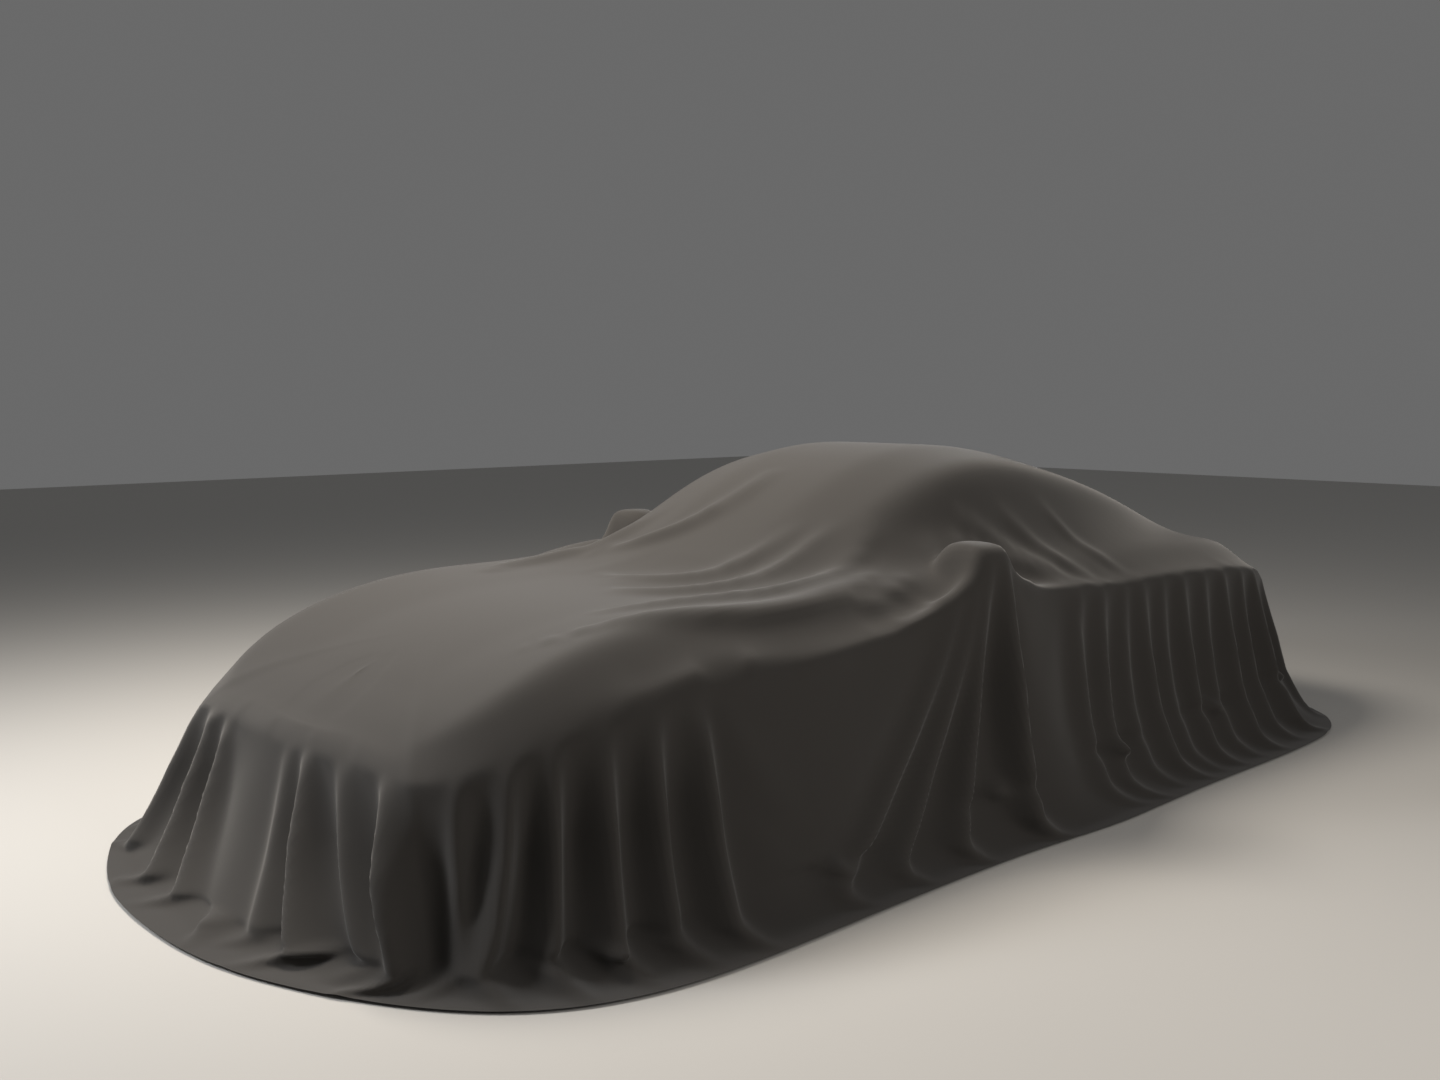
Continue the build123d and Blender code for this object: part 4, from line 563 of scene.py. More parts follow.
# the cloth stands off the mirror shells
MIRROR_ROOM = (0.022, 0.024, 0.020)
MIRROR_SQUARENESS = 4
points = np.empty(len(cover_cloth.data.vertices) * 3)
cover_cloth.data.vertices.foreach_get("co", points)
points = points.reshape(-1, 3)
for name in ("mirror_left", "mirror_right"):
    low, high = (np.array(corner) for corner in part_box(name))
    reach = (high - low) / 2 + np.array(MIRROR_ROOM)
    away = points - (low + high) / 2
    nearness = np.sum((np.abs(away) / reach) ** MIRROR_SQUARENESS, axis=1)
    nearness = np.maximum(nearness ** (1 / MIRROR_SQUARENESS), TINY)
    inside = nearness < 1
    points[inside] += away[inside] * (1 / nearness[inside] - 1)[:, None]
cover_cloth.data.vertices.foreach_set("co", points.reshape(-1))
cover_cloth.data.update()
finer = cover_cloth.modifiers.new("finer", "SUBSURF")
finer.levels = 1
apply_all(cover_cloth)
for face in cover_cloth.data.polygons:
    face.use_smooth = True
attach(cover_cloth, "cover")
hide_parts("cover")


def shader_of(material):
    """A node material's shader."""
    return material.node_tree.nodes["Principled BSDF"]


def node_material(title, **looks):
    """A new node material with its shader's inputs set, each by its name."""
    material = bpy.data.materials.new(title)
    material.use_nodes = True
    for socket, value in looks.items():
        shader_of(material).inputs[socket.replace("_", " ")].default_value = value
    return material


def object_noise(tree, scale, detail):
    """Noise on Object coordinates."""
    spot = tree.nodes.new("ShaderNodeTexCoord")
    noise = tree.nodes.new("ShaderNodeTexNoise")
    noise.inputs["Scale"].default_value = scale
    noise.inputs["Detail"].default_value = detail
    tree.links.new(spot.outputs["Object"], noise.inputs["Vector"])
    return noise


def noise_bump(material, scale, strength, distance, detail=4.0):
    """Fine relief by noise."""
    tree = material.node_tree
    noise = object_noise(tree, scale, detail)
    bump = tree.nodes.new("ShaderNodeBump")
    bump.inputs["Strength"].default_value = strength
    bump.inputs["Distance"].default_value = distance
    tree.links.new(noise.outputs["Fac"], bump.inputs["Height"])
    tree.links.new(bump.outputs["Normal"], shader_of(material).inputs["Normal"])


CLOTH_COLOUR = (0.036, 0.033, 0.030, 1)
cloth = node_material("cover_cloth", Base_Color=CLOTH_COLOUR, Roughness=0.88,
                      Specular_IOR_Level=0.25, Sheen_Weight=0.25, Sheen_Roughness=0.45)
noise_bump(cloth, 900, 0.15, 0.0006)
cover_cloth.data.materials.clear()
cover_cloth.data.materials.append(cloth)

# Painted body
# Pressed steel panels in a deep graphite metallic: fine flake under a clear lacquer, a little
# softer in gloss in patches. The mirror shells are moulded and painted to match.
FLAKE_DARK = (0.030, 0.034, 0.042, 1)
FLAKE_LIGHT = (0.075, 0.082, 0.096, 1)
MOTTLE_BAND = (0.35, 0.65)


def give(material, *names):
    """Gives CAD nodes their finish."""
    for name in names:
        nodes[name].data.materials.clear()
        nodes[name].data.materials.append(material)


def mottle(material, socket, scale, dark, light, detail=3.0):
    """Varies a colour or a roughness by noise, between two values or two colours."""
    tree = material.node_tree
    noise = object_noise(tree, scale, detail)
    ramp = tree.nodes.new("ShaderNodeValToRGB")
    for element, at, value in zip(ramp.color_ramp.elements, MOTTLE_BAND, (dark, light)):
        element.position = at
        element.color = value if isinstance(value, tuple) else grey(value)
    tree.links.new(noise.outputs["Fac"], ramp.inputs["Fac"])
    tree.links.new(ramp.outputs["Color"], shader_of(material).inputs[socket])


def grey(value):
    """A neutral colour."""
    return (value, value, value, 1)


paint = node_material("graphite_paint", Metallic=0.75, Coat_Weight=1.0, Coat_Roughness=0.04)
mottle(paint, "Base Color", 2600, FLAKE_DARK, FLAKE_LIGHT, 1.0)
mottle(paint, "Roughness", 7, 0.30, 0.38)
give(paint, "bonnet", "boot_lid", "front_bumper", "rear_bumper", "cabin_frame", "roof_panel",
     "door_left", "door_right", "body_side_left", "body_side_right", "front_wing_left",
     "front_wing_right", "mirror_left", "mirror_right")

# Windows
# Laminated glass in the windscreen and toughened glass elsewhere, with a light grey tint; each
# pane is bonded or clamped by its edge.
GLASS_TINT = (0.62, 0.67, 0.66, 1)
glass = node_material("tinted_glass", Base_Color=GLASS_TINT, Transmission_Weight=1.0, IOR=1.45)
mottle(glass, "Roughness", 5, 0.01, 0.03)
give(glass, "windscreen", "rear_window", "quarter_windows", "door_glass_left", "door_glass_right")

# Underbody and running gear
# Pressed steel floor with its rails and bulkhead under a coarse black stone-guard; steel arms,
# axle and wheel knuckles in satin black, dulled in patches by road film.
underbody = node_material("stone_guard_black")
mottle(underbody, "Base Color", 11, 0.012, 0.030)
mottle(underbody, "Roughness", 30, 0.65, 0.85)
noise_bump(underbody, 420, 0.5, 0.0012)
give(underbody, "floor_pan")
satin = node_material("satin_black_steel")
mottle(satin, "Base Color", 25, 0.020, 0.045)
mottle(satin, "Roughness", 60, 0.40, 0.60)
noise_bump(satin, 700, 0.2, 0.0004)
give(satin, "front_suspension", "rear_axle", "knuckle_left", "knuckle_right")

# Engine, radiator and exhaust
# A cast alloy engine, a radiator whose core has fine level fins, and welded stainless pipes gone
# straw and grey with heat.
FIN_SCALE = 95
FIN_DEPTH = 0.003
STRAW = (0.42, 0.36, 0.27, 1)
HOT_GREY = (0.52, 0.52, 0.54, 1)
alloy = node_material("cast_alloy", Metallic=0.9)
mottle(alloy, "Base Color", 18, 0.28, 0.42)
mottle(alloy, "Roughness", 90, 0.45, 0.65)
noise_bump(alloy, 260, 0.5, 0.0010)
give(alloy, "engine_block")
core = node_material("radiator_fins", Metallic=0.6, Base_Color=grey(0.06), Roughness=0.5)
tree = core.node_tree
spot = tree.nodes.new("ShaderNodeTexCoord")
fins = tree.nodes.new("ShaderNodeTexWave")
fins.bands_direction = "Z"
fins.inputs["Scale"].default_value = FIN_SCALE
ridge_bump = tree.nodes.new("ShaderNodeBump")
ridge_bump.inputs["Distance"].default_value = FIN_DEPTH
tree.links.new(spot.outputs["Object"], fins.inputs["Vector"])
tree.links.new(fins.outputs["Fac"], ridge_bump.inputs["Height"])
tree.links.new(ridge_bump.outputs["Normal"], shader_of(core).inputs["Normal"])
give(core, "radiator")
steel = node_material("heated_steel", Metallic=1.0)
mottle(steel, "Base Color", 3.5, STRAW, HOT_GREY)
mottle(steel, "Roughness", 40, 0.22, 0.40)
give(steel, "exhaust")

# Grille
# One moulding in satin black plastic with a fine grain, its bars level between upright struts,
# set back in the mouth of the nose.
moulding = node_material("grille_moulding", Base_Color=grey(0.018))
mottle(moulding, "Roughness", 55, 0.32, 0.48)
noise_bump(moulding, 1200, 0.15, 0.0003)
give(moulding, "grille")

# Wheels
# Machined alloy rims under a satin grey lacquer, with five nuts and a plain cap on each hub, and
# turned iron brake discs behind them.
wheel_metal = node_material("satin_alloy", Metallic=0.95, Coat_Weight=0.4)
mottle(wheel_metal, "Base Color", 9, 0.30, 0.36)
mottle(wheel_metal, "Roughness", 140, 0.26, 0.36)
give(wheel_metal, "rim_front_left", "rim_front_right", "rim_rear_left", "rim_rear_right")
iron = node_material("turned_iron", Metallic=0.85)
mottle(iron, "Base Color", 35, 0.16, 0.26)
mottle(iron, "Roughness", 220, 0.30, 0.45)
give(iron, "brake_disc_front_left", "brake_disc_front_right", "brake_disc_rear_left",
     "brake_disc_rear_right")
NUTS = 5
NUT_RADIUS = 0.011
NUT_LENGTH = 0.014
NUT_CIRCLE = 0.045
NUT_TURN = 18
CAP_RADIUS = 0.026
CAP_LENGTH = 0.012
HUB_FACE_INSET = 0.012
NUT_STAND = 0.002
CAP_STAND = 0.003
WHEELS = [("front_left", 1), ("front_right", -1), ("rear_left", 1), ("rear_right", -1)]


def bevelled(piece, width, segments):
    """Rounds the edges of a piece by a modifier."""
    rounding = piece.modifiers.new("rounding", "BEVEL")
    rounding.width = width
    rounding.segments = segments


def settled(piece, body, material, smooth=35):
    """Finishes a piece: applied in place, shaded, coloured, and riding on its body."""
    only(piece)
    bpy.ops.object.transform_apply(location=True, rotation=True, scale=True)
    apply_all(piece)
    only(piece)
    if smooth:
        bpy.ops.object.shade_smooth_by_angle(angle=math.radians(smooth))
    piece.data.materials.clear()
    piece.data.materials.append(material)
    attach(piece, body)
    bpy.ops.object.select_all(action="DESELECT")


def joined(pieces, title):
    """Several pieces made one."""
    only(pieces[0])
    for piece in pieces:
        piece.select_set(True)
    bpy.ops.object.join()
    pieces[0].name = title
    return pieces[0]


for wheel, side in WHEELS:
    low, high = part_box("rim_" + wheel)
    hub_x, hub_z = (low[0] + high[0]) / 2, (low[2] + high[2]) / 2
    face_y = high[1] - HUB_FACE_INSET if side > 0 else low[1] + HUB_FACE_INSET
    pieces = []
    for index in range(NUTS):
        turn = math.radians(360 / NUTS * index + NUT_TURN)
        place_on_hub = (hub_x + NUT_CIRCLE * math.sin(turn), face_y + side * NUT_STAND,
                        hub_z + NUT_CIRCLE * math.cos(turn))
        bpy.ops.mesh.primitive_cylinder_add(vertices=6, radius=NUT_RADIUS, depth=NUT_LENGTH,
                                            location=place_on_hub, rotation=(math.pi / 2, 0, 0))
        pieces.append(bpy.context.object)
    bpy.ops.mesh.primitive_cylinder_add(vertices=48, radius=CAP_RADIUS, depth=CAP_LENGTH,
                                        location=(hub_x, face_y + side * CAP_STAND, hub_z),
                                        rotation=(math.pi / 2, 0, 0))
    pieces.append(bpy.context.object)
    trim = joined(pieces, "hub_trim_" + wheel)
    bevelled(trim, 0.002, 2)
    settled(trim, "wheel_" + wheel, wheel_metal)

# Tyres
# Low-profile radial tyres of moulded rubber: a plain bulged sidewall with a rim protector, and a
# tread of ribs parted by four grooves and cut by slanted sipes.
TYRE_HALF_SECTION = [
    # distance from the middle of the tread to one side, radius
    (-0.112, 0.2515), (-0.118, 0.262), (-0.126, 0.272), (-0.1270, 0.285), (-0.1250, 0.300),
    (-0.1235, 0.318), (-0.118, 0.331), (-0.104, 0.3405), (-0.092, 0.3425), (-0.078, 0.3435),
    (-0.074, 0.3365), (-0.064, 0.3365), (-0.060, 0.3440), (-0.030, 0.3448), (-0.026, 0.3375),
    (-0.016, 0.3375), (-0.012, 0.3449),
]
RIB_LEAST_RADIUS = 0.340
TREAD_STEPS = 288
SIPE_EVERY = 6
SIPE_DEPTH = 0.005
rubber = node_material("tyre_rubber")
mottle(rubber, "Base Color", 14, 0.016, 0.028)
mottle(rubber, "Roughness", 35, 0.62, 0.82)
noise_bump(rubber, 900, 0.25, 0.0004)
half = np.array(TYRE_HALF_SECTION)
section = np.vstack([half, half[::-1] * [-1, 1]])
for wheel, side in WHEELS:
    low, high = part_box("tyre_" + wheel)
    centre = (np.array(low) + np.array(high)) / 2
    turn = np.arange(TREAD_STEPS) * 2 * math.pi / TREAD_STEPS
    across = section[:, 0][:, None] + 0 * turn
    rows = np.arange(len(section))[:, None]
    slant = (np.arange(TREAD_STEPS)[None, :] + (rows % len(half)) // 2) % SIPE_EVERY == 0
    ribs = (section[:, 1] > RIB_LEAST_RADIUS)[:, None] & slant
    radius = section[:, 1][:, None] - SIPE_DEPTH * ribs
    ring_rows = np.stack([centre[0] + radius * np.cos(turn), centre[1] + across,
                          centre[2] + radius * np.sin(turn)], axis=-1)
    ring_rows = np.concatenate([ring_rows, ring_rows[:1]], axis=0)
    tyre = ringed_sheet(ring_rows, "tyre_tread_" + wheel)
    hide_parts("tyre_" + wheel)
    settled(tyre, "wheel_" + wheel, rubber, 40)

# Lamps
# Clear moulded covers set flush into the front corners, and tail lamps of red plastic with a
# moulded grain, set into the tail.
CLEAR_TINT = (0.90, 0.92, 0.93, 1)
LAMP_RED = (0.36, 0.010, 0.012, 1)
clear = node_material("lamp_cover", Base_Color=CLEAR_TINT, Transmission_Weight=1.0, IOR=1.30)
mottle(clear, "Roughness", 20, 0.01, 0.04)
give(clear, "headlamps")
red = node_material("tail_lamp_red", Base_Color=LAMP_RED, Transmission_Weight=0.35,
                    Coat_Weight=1.0)
mottle(red, "Roughness", 25, 0.08, 0.16)
noise_bump(red, 320, 0.2, 0.0006, 1.0)
give(red, "tail_lamps")

# Dashboard and console
# Soft-touch moulding with a fine grain over foam, fixed below the windscreen, and a console of
# the same between the seats; the steering wheel is wrapped in leather.
soft_touch = node_material("soft_touch_black")
mottle(soft_touch, "Base Color", 16, 0.020, 0.032)
mottle(soft_touch, "Roughness", 80, 0.55, 0.70)
noise_bump(soft_touch, 1500, 0.45, 0.0006)
give(soft_touch, "dashboard", "centre_console")
grip_leather = node_material("wheel_leather")
mottle(grip_leather, "Base Color", 30, 0.018, 0.035)
mottle(grip_leather, "Roughness", 90, 0.42, 0.58)
noise_bump(grip_leather, 1100, 0.5, 0.0006)
give(grip_leather, "steering_wheel")

# Seats
# Leather over foam on boxed steel frames: crowned cushions, backs and headrests. The front
# cushions and backs have three sewn channels, the two smaller rear seats two and no headrest.
TAN_DARK = (0.150, 0.085, 0.048, 1)
TAN_LIGHT = (0.205, 0.120, 0.070, 1)
leather = node_material("tan_leather")
mottle(leather, "Base Color", 12, TAN_DARK, TAN_LIGHT)
mottle(leather, "Roughness", 70, 0.42, 0.56)
noise_bump(leather, 850, 0.5, 0.0008)
PAD_CUTS = 15
PAD_SQUARE = 0.72
PAD_ROUND = 0.28
PAD_FACE = 0.99
CROWN_DROP = 0.6
CHANNEL_WIDTH = 0.07
CHANNEL_END = 0.86
CHANNEL_DEPTH = 0.007
FRONT_CHANNELS = (-0.58, 0.0, 0.58)
REAR_CHANNELS = (-0.5, 0.5)
FRONT_HINGE = (-0.24, 0.30)
FRONT_LEAN = 22
REAR_LEAN = 14
FRONT_PADS = [
    # piece, middle from its hinge, half size, thin axis, crown, channels, lean, hinge's x and z
    ("seat_cushion_", (0, 0, 0), (0.258, 0.236, 0.072), 2, 0.022, FRONT_CHANNELS, 0,
     (-0.07, 0.355)),
    ("seat_back_", (-0.065, 0, 0.31), (0.062, 0.236, 0.305), 0, 0.020, FRONT_CHANNELS, FRONT_LEAN,
     FRONT_HINGE),
    ("headrest_", (-0.070, 0, 0.675), (0.044, 0.122, 0.083), 0, 0.010, (), FRONT_LEAN,
     FRONT_HINGE),
]
REAR_PADS = [
    ("rear_cushion_", (0, 0, 0), (0.205, 0.244, 0.052), 2, 0.014, REAR_CHANNELS, 0,
     (-0.79, 0.405)),
    ("rear_back_", (-0.052, 0, 0.255), (0.048, 0.244, 0.240), 0, 0.012, REAR_CHANNELS, REAR_LEAN,
     (-0.875, 0.41)),
]
SEATS = [
    # frame, its x, its z, its middle and half width across, its pads and their middle, its node
    ("seat_frame_", (-0.29, 0.13), (0.166, 0.30), 0.375, 0.18, FRONT_PADS, 0.375, "front_seats"),
    ("rear_seat_frame_", (-0.99, -0.65), (0.166, 0.37), 0.30, 0.12, REAR_PADS, 0.25, "rear_seat"),
]
SIDES = (("left", 1), ("right", -1))


def seat_pad(title, middle, half, thin_axis, crown, channels, lean, pivot, replaced):
    """A crowned pad, rounded at its edges, with sewn channels along both of its faces."""
    bpy.ops.mesh.primitive_cube_add(size=2)
    pad = bpy.context.object
    pad.name = title
    bpy.ops.object.mode_set(mode="EDIT")
    bpy.ops.mesh.subdivide(number_cuts=PAD_CUTS)
    bpy.ops.object.mode_set(mode="OBJECT")
    points = np.empty(len(pad.data.vertices) * 3)
    pad.data.vertices.foreach_get("co", points)
    cube = points.reshape(-1, 3)
    ball = np.empty_like(cube)
    for k in range(3):
        a, b = cube[:, (k + 1) % 3] ** 2, cube[:, (k + 2) % 3] ** 2
        ball[:, k] = cube[:, k] * np.sqrt(1 - a / 2 - b / 2 + a * b / 3)
    shape = cube * PAD_SQUARE + ball * PAD_ROUND
    flat = [k for k in range(3) if k != thin_axis]
    dome = (1 - cube[:, flat[0]] ** 2) * (1 - cube[:, flat[1]] ** 2)
    shape = shape * np.array(half)
    face = np.sign(cube[:, thin_axis]) * (abs(cube[:, thin_axis]) > PAD_FACE)
    shape[:, thin_axis] += face * (crown * dome - crown * CROWN_DROP)
    for channel in channels:
        groove = (np.exp(-((cube[:, 1] - channel) / CHANNEL_WIDTH) ** 2)
                  * (abs(cube[:, flat[0]]) < CHANNEL_END))
        shape[:, thin_axis] -= face * CHANNEL_DEPTH * groove
    shape += middle
    tilt = math.radians(lean)
    x = shape[:, 0] * math.cos(tilt) - shape[:, 2] * math.sin(tilt)
    z = shape[:, 0] * math.sin(tilt) + shape[:, 2] * math.cos(tilt)
    shape[:, 0], shape[:, 2] = x, z
    shape += pivot
    pad.data.vertices.foreach_set("co", shape.reshape(-1))
    finer = pad.modifiers.new("finer", "SUBSURF")
    finer.levels = 1
    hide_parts(replaced)
    settled(pad, "chassis", leather, 0)
    for face in pad.data.polygons:
        face.use_smooth = True


def rounded_slab(title, middle, size, rounding, segments=4):
    """A block with rounded edges, its middle at a place."""
    bpy.ops.object.select_all(action="DESELECT")
    bpy.ops.mesh.primitive_cube_add(size=1, location=middle)
    slab = bpy.context.object
    slab.name = title
    slab.scale = size
    bpy.ops.object.transform_apply(location=True, rotation=True, scale=True)
    bevelled(slab, rounding, segments)
    apply_all(slab)
    return slab


for name, side in SIDES:
    for title, along, up, frame_y, half_width, pads, pads_y, node in SEATS:
        middle = (sum(along) / 2, side * frame_y, sum(up) / 2)
        size = (along[1] - along[0], 2 * half_width, up[1] - up[0])
        box = rounded_slab(title + name, middle, size, 0.012, 3)
        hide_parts(node)
        settled(box, "chassis", satin)
        for pad, middle, size, thin_axis, crown, channels, lean, hinge in pads:
            seat_pad(pad + name, middle, size, thin_axis, crown, channels, lean,
                     (hinge[0], side * pads_y, hinge[1]), node)

# Outside trim
# Wipers of black rubber on black arms, silvered mirror glass, painted door pulls fixed by two
# feet, a blank enamelled plate held by two screws, and chromed bowls in the headlamps.
rubber_trim = node_material("black_moulding")
mottle(rubber_trim, "Base Color", 40, 0.012, 0.022)
mottle(rubber_trim, "Roughness", 60, 0.42, 0.60)
noise_bump(rubber_trim, 1300, 0.2, 0.0003)
silvered = node_material("mirror_silver", Metallic=1.0, Base_Color=(0.80, 0.83, 0.85, 1))
mottle(silvered, "Roughness", 12, 0.02, 0.05)
enamel = node_material("plate_enamel")
mottle(enamel, "Base Color", 6, 0.58, 0.64)
mottle(enamel, "Roughness", 25, 0.28, 0.38)


OVAL_STEPS = 13
STRIP_TAPER = (0.15, 8)


def strip_along(title, points, width, height, steps=40):
    """A moulded strip that follows a row of places, its section an oval."""
    points = np.array(points)
    run = np.concatenate([[0], np.cumsum(np.linalg.norm(np.diff(points, axis=0), axis=1))])
    even = np.linspace(0, run[-1], steps)
    line = np.column_stack([np.interp(even, run, points[:, k]) for k in range(3)])
    ahead = np.gradient(line, axis=0)
    ahead /= np.linalg.norm(ahead, axis=1)[:, None]
    beside = np.cross(ahead, [0, 0, 1.0])
    beside /= np.linalg.norm(beside, axis=1)[:, None]
    above = np.cross(beside, ahead)
    around = np.linspace(0, 2 * math.pi, OVAL_STEPS)
    rows = []
    for share, spot, side, up in zip(np.linspace(0, 1, steps), line, beside, above):
        taper = min(1.0, STRIP_TAPER[0] + STRIP_TAPER[1] * min(share, 1 - share))
        rows.append([spot + side * math.cos(a) * width / 2 * taper
                     + up * math.sin(a) * height / 2 * taper for a in around])
    return ringed_sheet(np.array(rows), title)


# mirror glass, in the mouth of each shell
MIRROR_GLASS = (0.004, 0.138, 0.070)
MIRROR_GLASS_INSET = (0.012, 0.088)
for name, side in SIDES:
    low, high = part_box("mirror_" + name)
    outer_y = high[1] if side > 0 else low[1]
    middle = (low[0] + MIRROR_GLASS_INSET[0], outer_y - side * MIRROR_GLASS_INSET[1],
              (low[2] + high[2]) / 2)
    pane = rounded_slab("mirror_glass_" + name, middle, MIRROR_GLASS, 0.0019)
    settled(pane, "door_" + name, silvered)

# wipers, parked along the foot of the screen: where each blade starts and ends on the plan
WIPERS = [((0.700, 0.56), (0.640, 0.04)), ((0.722, -0.06), (0.655, -0.56))]
WIPER_BOW = 0.02
ARM_FROM = 0.45
ARM_SPLAY = 0.05
BLADE_LIFT = 0.001
ARM_LIFT = 0.003
for index, (start, end) in enumerate(WIPERS):
    blade, arm = [], []
    for share in np.linspace(0, 1, 14):
        x = start[0] + (end[0] - start[0]) * share - WIPER_BOW * math.sin(math.pi * share)
        y = start[1] + (end[1] - start[1]) * share
        blade.append((x, y, skin_height(x, y) + BLADE_LIFT))
        if share > ARM_FROM:
            arm_x = x + ARM_SPLAY * (share - ARM_FROM)
            arm.append((arm_x, y, skin_height(arm_x, y) + ARM_LIFT))
    pieces = [strip_along("wiper", blade, 0.012, 0.005), strip_along("arm", arm, 0.014, 0.004)]
    settled(joined(pieces, f"wiper_{index}"), "chassis", rubber_trim, 50)


BAR_STEPS = 9
BAR_FEET = (1, 7)
BAR_LEVEL_X = 0.08


def door_bar(title, name, side, span, z, slope, start_y, stand, width, height, foot, foot_in,
             rounding):
    """A bar on two feet along a door's panel: outside it or, with a minus stand, inside it."""
    panel = tree_of(nodes["door_" + name])
    toward = Vector((0, -side if stand > 0 else side, 0))
    line = []
    for x in np.linspace(span[0], span[1], BAR_STEPS):
        hit = panel.ray_cast(Vector((x, side * start_y, z)), toward)
        line.append((x, hit[0].y + side * stand, z + slope * (x - BAR_LEVEL_X)))
    bar = strip_along("bar", line, width, height)
    feet = [rounded_slab("foot", (line[k][0], line[k][1] - side * foot_in, line[k][2]), foot,
                         rounding) for k in BAR_FEET]
    return joined([bar] + feet, title + name)


for name, side in SIDES:
    pull = door_bar("door_pull_", name, side, span=(-0.34, -0.17), z=0.79, slope=0, start_y=1.6,
                    stand=0.006, width=0.012, height=0.020, foot=(0.014, 0.010, 0.012),
                    foot_in=0.004, rounding=0.003)
    settled(pull, "door_" + name, paint, 50)

# blank plate on the rear bumper
PLATE = (0.003, 0.520, 0.110)
PLATE_Z = 0.560
PLATE_TOUCH_Z = 0.585
SCREW_Y = 0.14
SCREW_RADIUS = 0.006
tail = tree_of(nodes["rear_bumper"])
hit = tail.ray_cast(Vector((-3.0, 0.0, PLATE_TOUCH_Z)), Vector((1, 0, 0)))
plate_x = hit[0].x - PLATE[0]
plate = rounded_slab("plate", (plate_x, 0, PLATE_Z), PLATE, 0.0014)
screws = []
for y in (-SCREW_Y, SCREW_Y):
    bpy.ops.mesh.primitive_uv_sphere_add(segments=16, ring_count=8, radius=SCREW_RADIUS,
                                         location=(plate_x - PLATE[0] / 2, y, PLATE_Z))
    bpy.context.object.scale = (0.35, 1, 1)
    screws.append(bpy.context.object)
settled(joined([plate] + screws, "blank_plate"), "chassis", enamel, 40)

# lamp bowls behind the clear covers: x, y and radius of each on one side
chrome = node_material("lamp_bowl_chrome", Metallic=1.0, Base_Color=grey(0.85))
mottle(chrome, "Roughness", 60, 0.05, 0.12)
BOWLS = ((2.075, 0.835, 0.034), (2.150, 0.780, 0.030))
BOWL_Z = 0.600
BOWL_RIM = 0.004
BOWL_LEAN = 60
BOWL_TURN = 18
BULB_SHARE = 0.8
BULB_SHAPE = (0.55, 1, 0.8)
for name, side in SIDES:
    bowls = []
    for x, y, radius in BOWLS:
        middle = (x, side * y, BOWL_Z)
        turned = (0, math.radians(BOWL_LEAN), side * math.radians(BOWL_TURN))
        bpy.ops.mesh.primitive_torus_add(major_segments=40, minor_segments=10, major_radius=radius,
                                         minor_radius=BOWL_RIM, location=middle, rotation=turned)
        bowls.append(bpy.context.object)
        bpy.ops.mesh.primitive_uv_sphere_add(segments=32, ring_count=16, location=middle,
                                             radius=radius * BULB_SHARE)
        bpy.context.object.scale = BULB_SHAPE
        bowls.append(bpy.context.object)
    settled(joined(bowls, "lamp_bowls_" + name), "chassis", chrome, 60)

# Inside trim
# A screen and moulded vents on the dashboard, a hooded dial pair before the driver, three steel
# pedals on hanging arms, and soft-touch grab handles in the doors.
screen_glass = node_material("screen_glass", Coat_Weight=1.0)
mottle(screen_glass, "Base Color", 3, 0.006, 0.010)
mottle(screen_glass, "Roughness", 9, 0.06, 0.12)
dash_tree = tree_of(nodes["dashboard"])
DASH_FROM_X = 0.10


def dash_face(y, z):
    """Where the dashboard's rear face lies."""
    return dash_tree.ray_cast(Vector((DASH_FROM_X, y, z)), Vector((1, 0, 0)))[0].x


SCREEN = (0.014, 0.270, 0.095)
SCREEN_Z = 0.742
screen_x = dash_face(0.0, 0.74) - 0.004
screen = rounded_slab("screen", (screen_x, 0, SCREEN_Z), SCREEN, 0.005)
settled(screen, "chassis", screen_glass)
VENT = (0.012, 0.090, 0.048)
VENT_YS = (-0.56, -0.20, 0.20, 0.585)
VENT_Z = 0.735
VANE = (0.006, 0.080, 0.0022)
VANES = 4
VANE_FIRST_Z = 0.720
VANE_STEP = 0.010
vents = []
for y in VENT_YS:
    face_x = dash_face(y, VENT_Z)
    vents.append(rounded_slab("vent", (face_x - 0.002, y, VENT_Z), VENT, 0.005))
    for row in range(VANES):
        z = VANE_FIRST_Z + VANE_STEP * row
        vents.append(rounded_slab("vane", (face_x - 0.009, y, z), VANE, 0.0008, 2))
settled(joined(vents, "vents"), "chassis", rubber_trim, 40)
DIAL_YS = (0.318, 0.432)
DIAL_PLACE = (0.500, 0.838)
DIAL_RADIUS = 0.048
DIAL_DEPTH = 0.020
HOOD_PLACE = (0.540, 0.375, 0.850)
HOOD = (0.130, 0.260, 0.070)
dials = []
for y in DIAL_YS:
    bpy.ops.mesh.primitive_cylinder_add(vertices=48, radius=DIAL_RADIUS, depth=DIAL_DEPTH,
                                        location=(DIAL_PLACE[0], y, DIAL_PLACE[1]),
                                        rotation=(0, math.pi / 2, 0))
    dials.append(bpy.context.object)
    bevelled(dials[-1], 0.004, 3)
    apply_all(dials[-1])
dials.append(rounded_slab("hood", HOOD_PLACE, HOOD, 0.022))
settled(joined(dials, "dial_binnacle"), "chassis", soft_touch, 40)
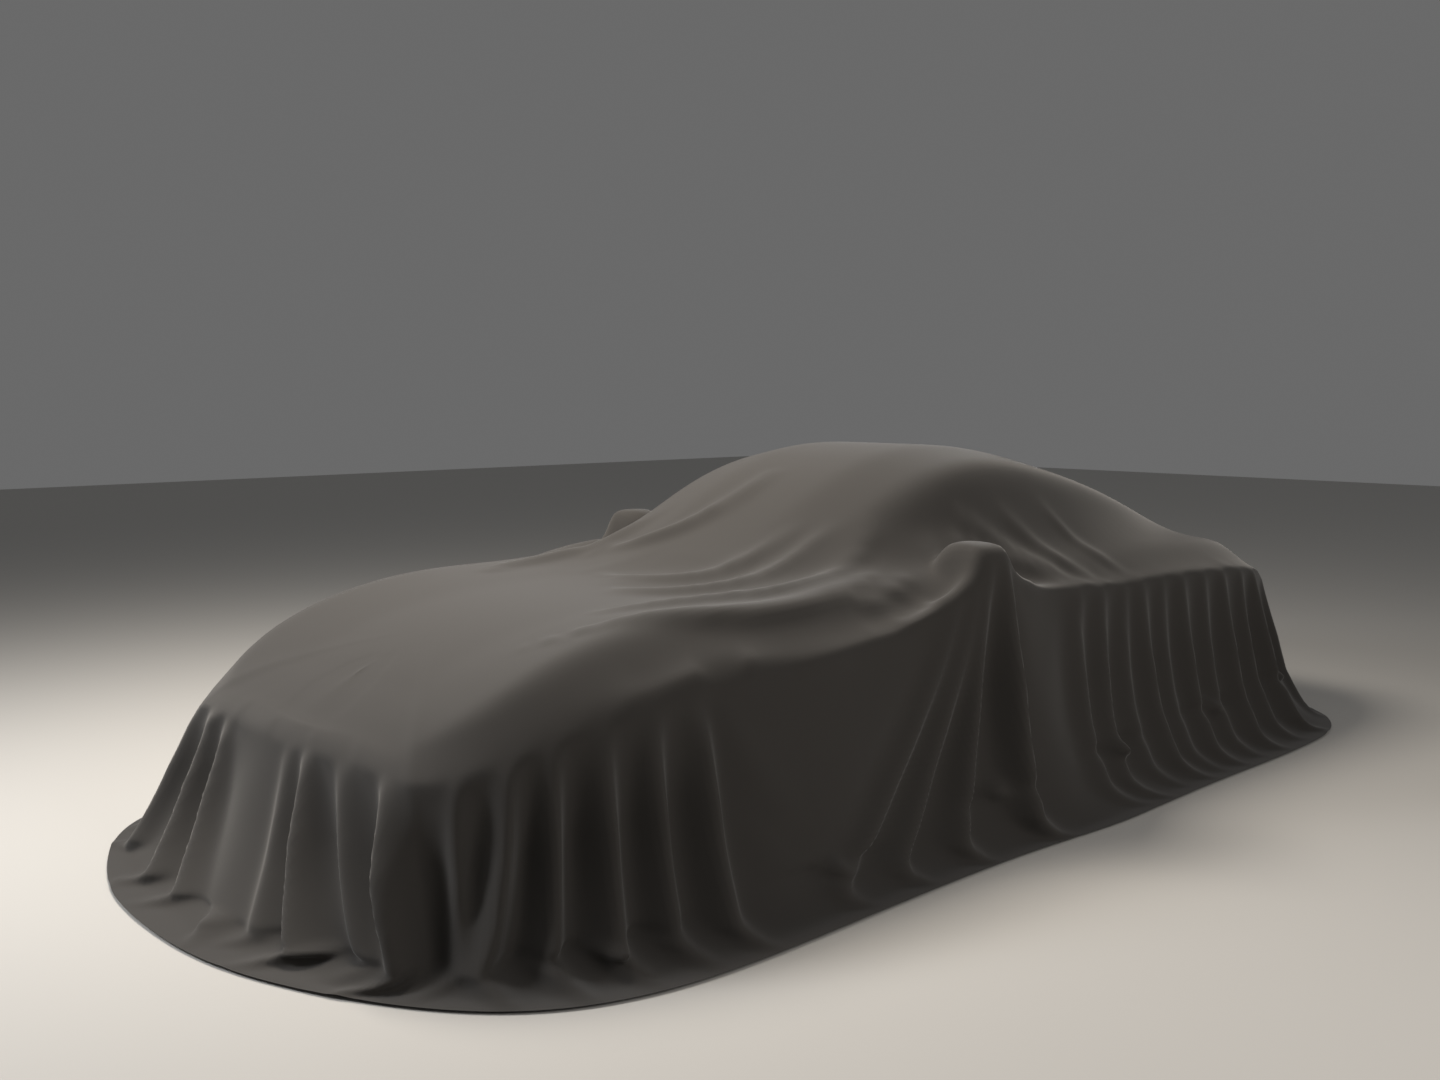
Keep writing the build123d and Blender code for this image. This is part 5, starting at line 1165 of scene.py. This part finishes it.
# the middle and width of each pedal across the car
PEDALS = ((0.300, 0.045), (0.385, 0.075), (0.470, 0.055))
PEDAL_PLACE = (0.690, 0.270)
pedals = []
for y, width in PEDALS:
    middle = (PEDAL_PLACE[0], y, PEDAL_PLACE[1])
    pedals.append(rounded_slab("pad", middle, (0.012, width, 0.070), 0.004))
    arm = [(0.700, y, 0.285), (0.715, y + 0.001, 0.42), (0.700, y, 0.575)]
    pedals.append(strip_along("arm", arm, 0.012, 0.018, 20))
settled(joined(pedals, "pedals"), "chassis", satin, 40)
for name, side in SIDES:
    grab = door_bar("door_grab_", name, side, span=(-0.05, 0.22), z=0.66, slope=0.02, start_y=0.55,
                    stand=-0.028, width=0.018, height=0.026, foot=(0.022, 0.030, 0.018),
                    foot_in=-0.014, rounding=0.005)
    settled(grab, "door_" + name, soft_touch, 50)

bpy.data.objects.remove(skin)

# Stage
# A pale floor and a plain grey surround, with one soft lamp above the far side of the car, one
# off its nose and a broad weak one off its left side.
FLOOR_COLOUR = (0.50, 0.49, 0.47, 1)
SURROUND = (0.42, 0.42, 0.42, 1)
SURROUND_STRENGTH = 0.34
bpy.ops.mesh.primitive_plane_add(size=40)
floor = bpy.context.object
floor.name = "stage_floor"
pale = node_material("stage_floor", Base_Color=FLOOR_COLOUR, Roughness=0.8)
noise_bump(pale, 60, 0.1, 0.001)
floor.data.materials.append(pale)
LAMPS = [
    # place, aim, power, size, colour
    ((1.3, -1.4, 4.2), (0.8, 0, 0.6), 230, 1.8, (1.0, 0.92, 0.82)),
    ((5.2, -2.2, 3.2), (1.9, 0.3, 0.4), 150, 1.2, (0.97, 0.98, 1.0)),
    ((0.6, 5.2, 3.0), (0.2, 0.6, 0.5), 90, 2.5, (1.0, 0.95, 0.9)),
]
for number, (spot, aim, power, size, colour) in enumerate(LAMPS):
    lamp = bpy.data.objects.new(f"lamp_{number}", bpy.data.lights.new(f"lamp_{number}", "AREA"))
    lamp.data.energy = power
    lamp.data.size = size
    lamp.data.color = colour
    lamp.location = spot
    lamp.rotation_euler = (Vector(aim) - Vector(spot)).to_track_quat("-Z", "Y").to_euler()
    bpy.context.scene.collection.objects.link(lamp)
world = bpy.data.worlds.new("studio")
world.use_nodes = True
world.node_tree.nodes["Background"].inputs["Color"].default_value = SURROUND
world.node_tree.nodes["Background"].inputs["Strength"].default_value = SURROUND_STRENGTH
bpy.context.scene.world = world
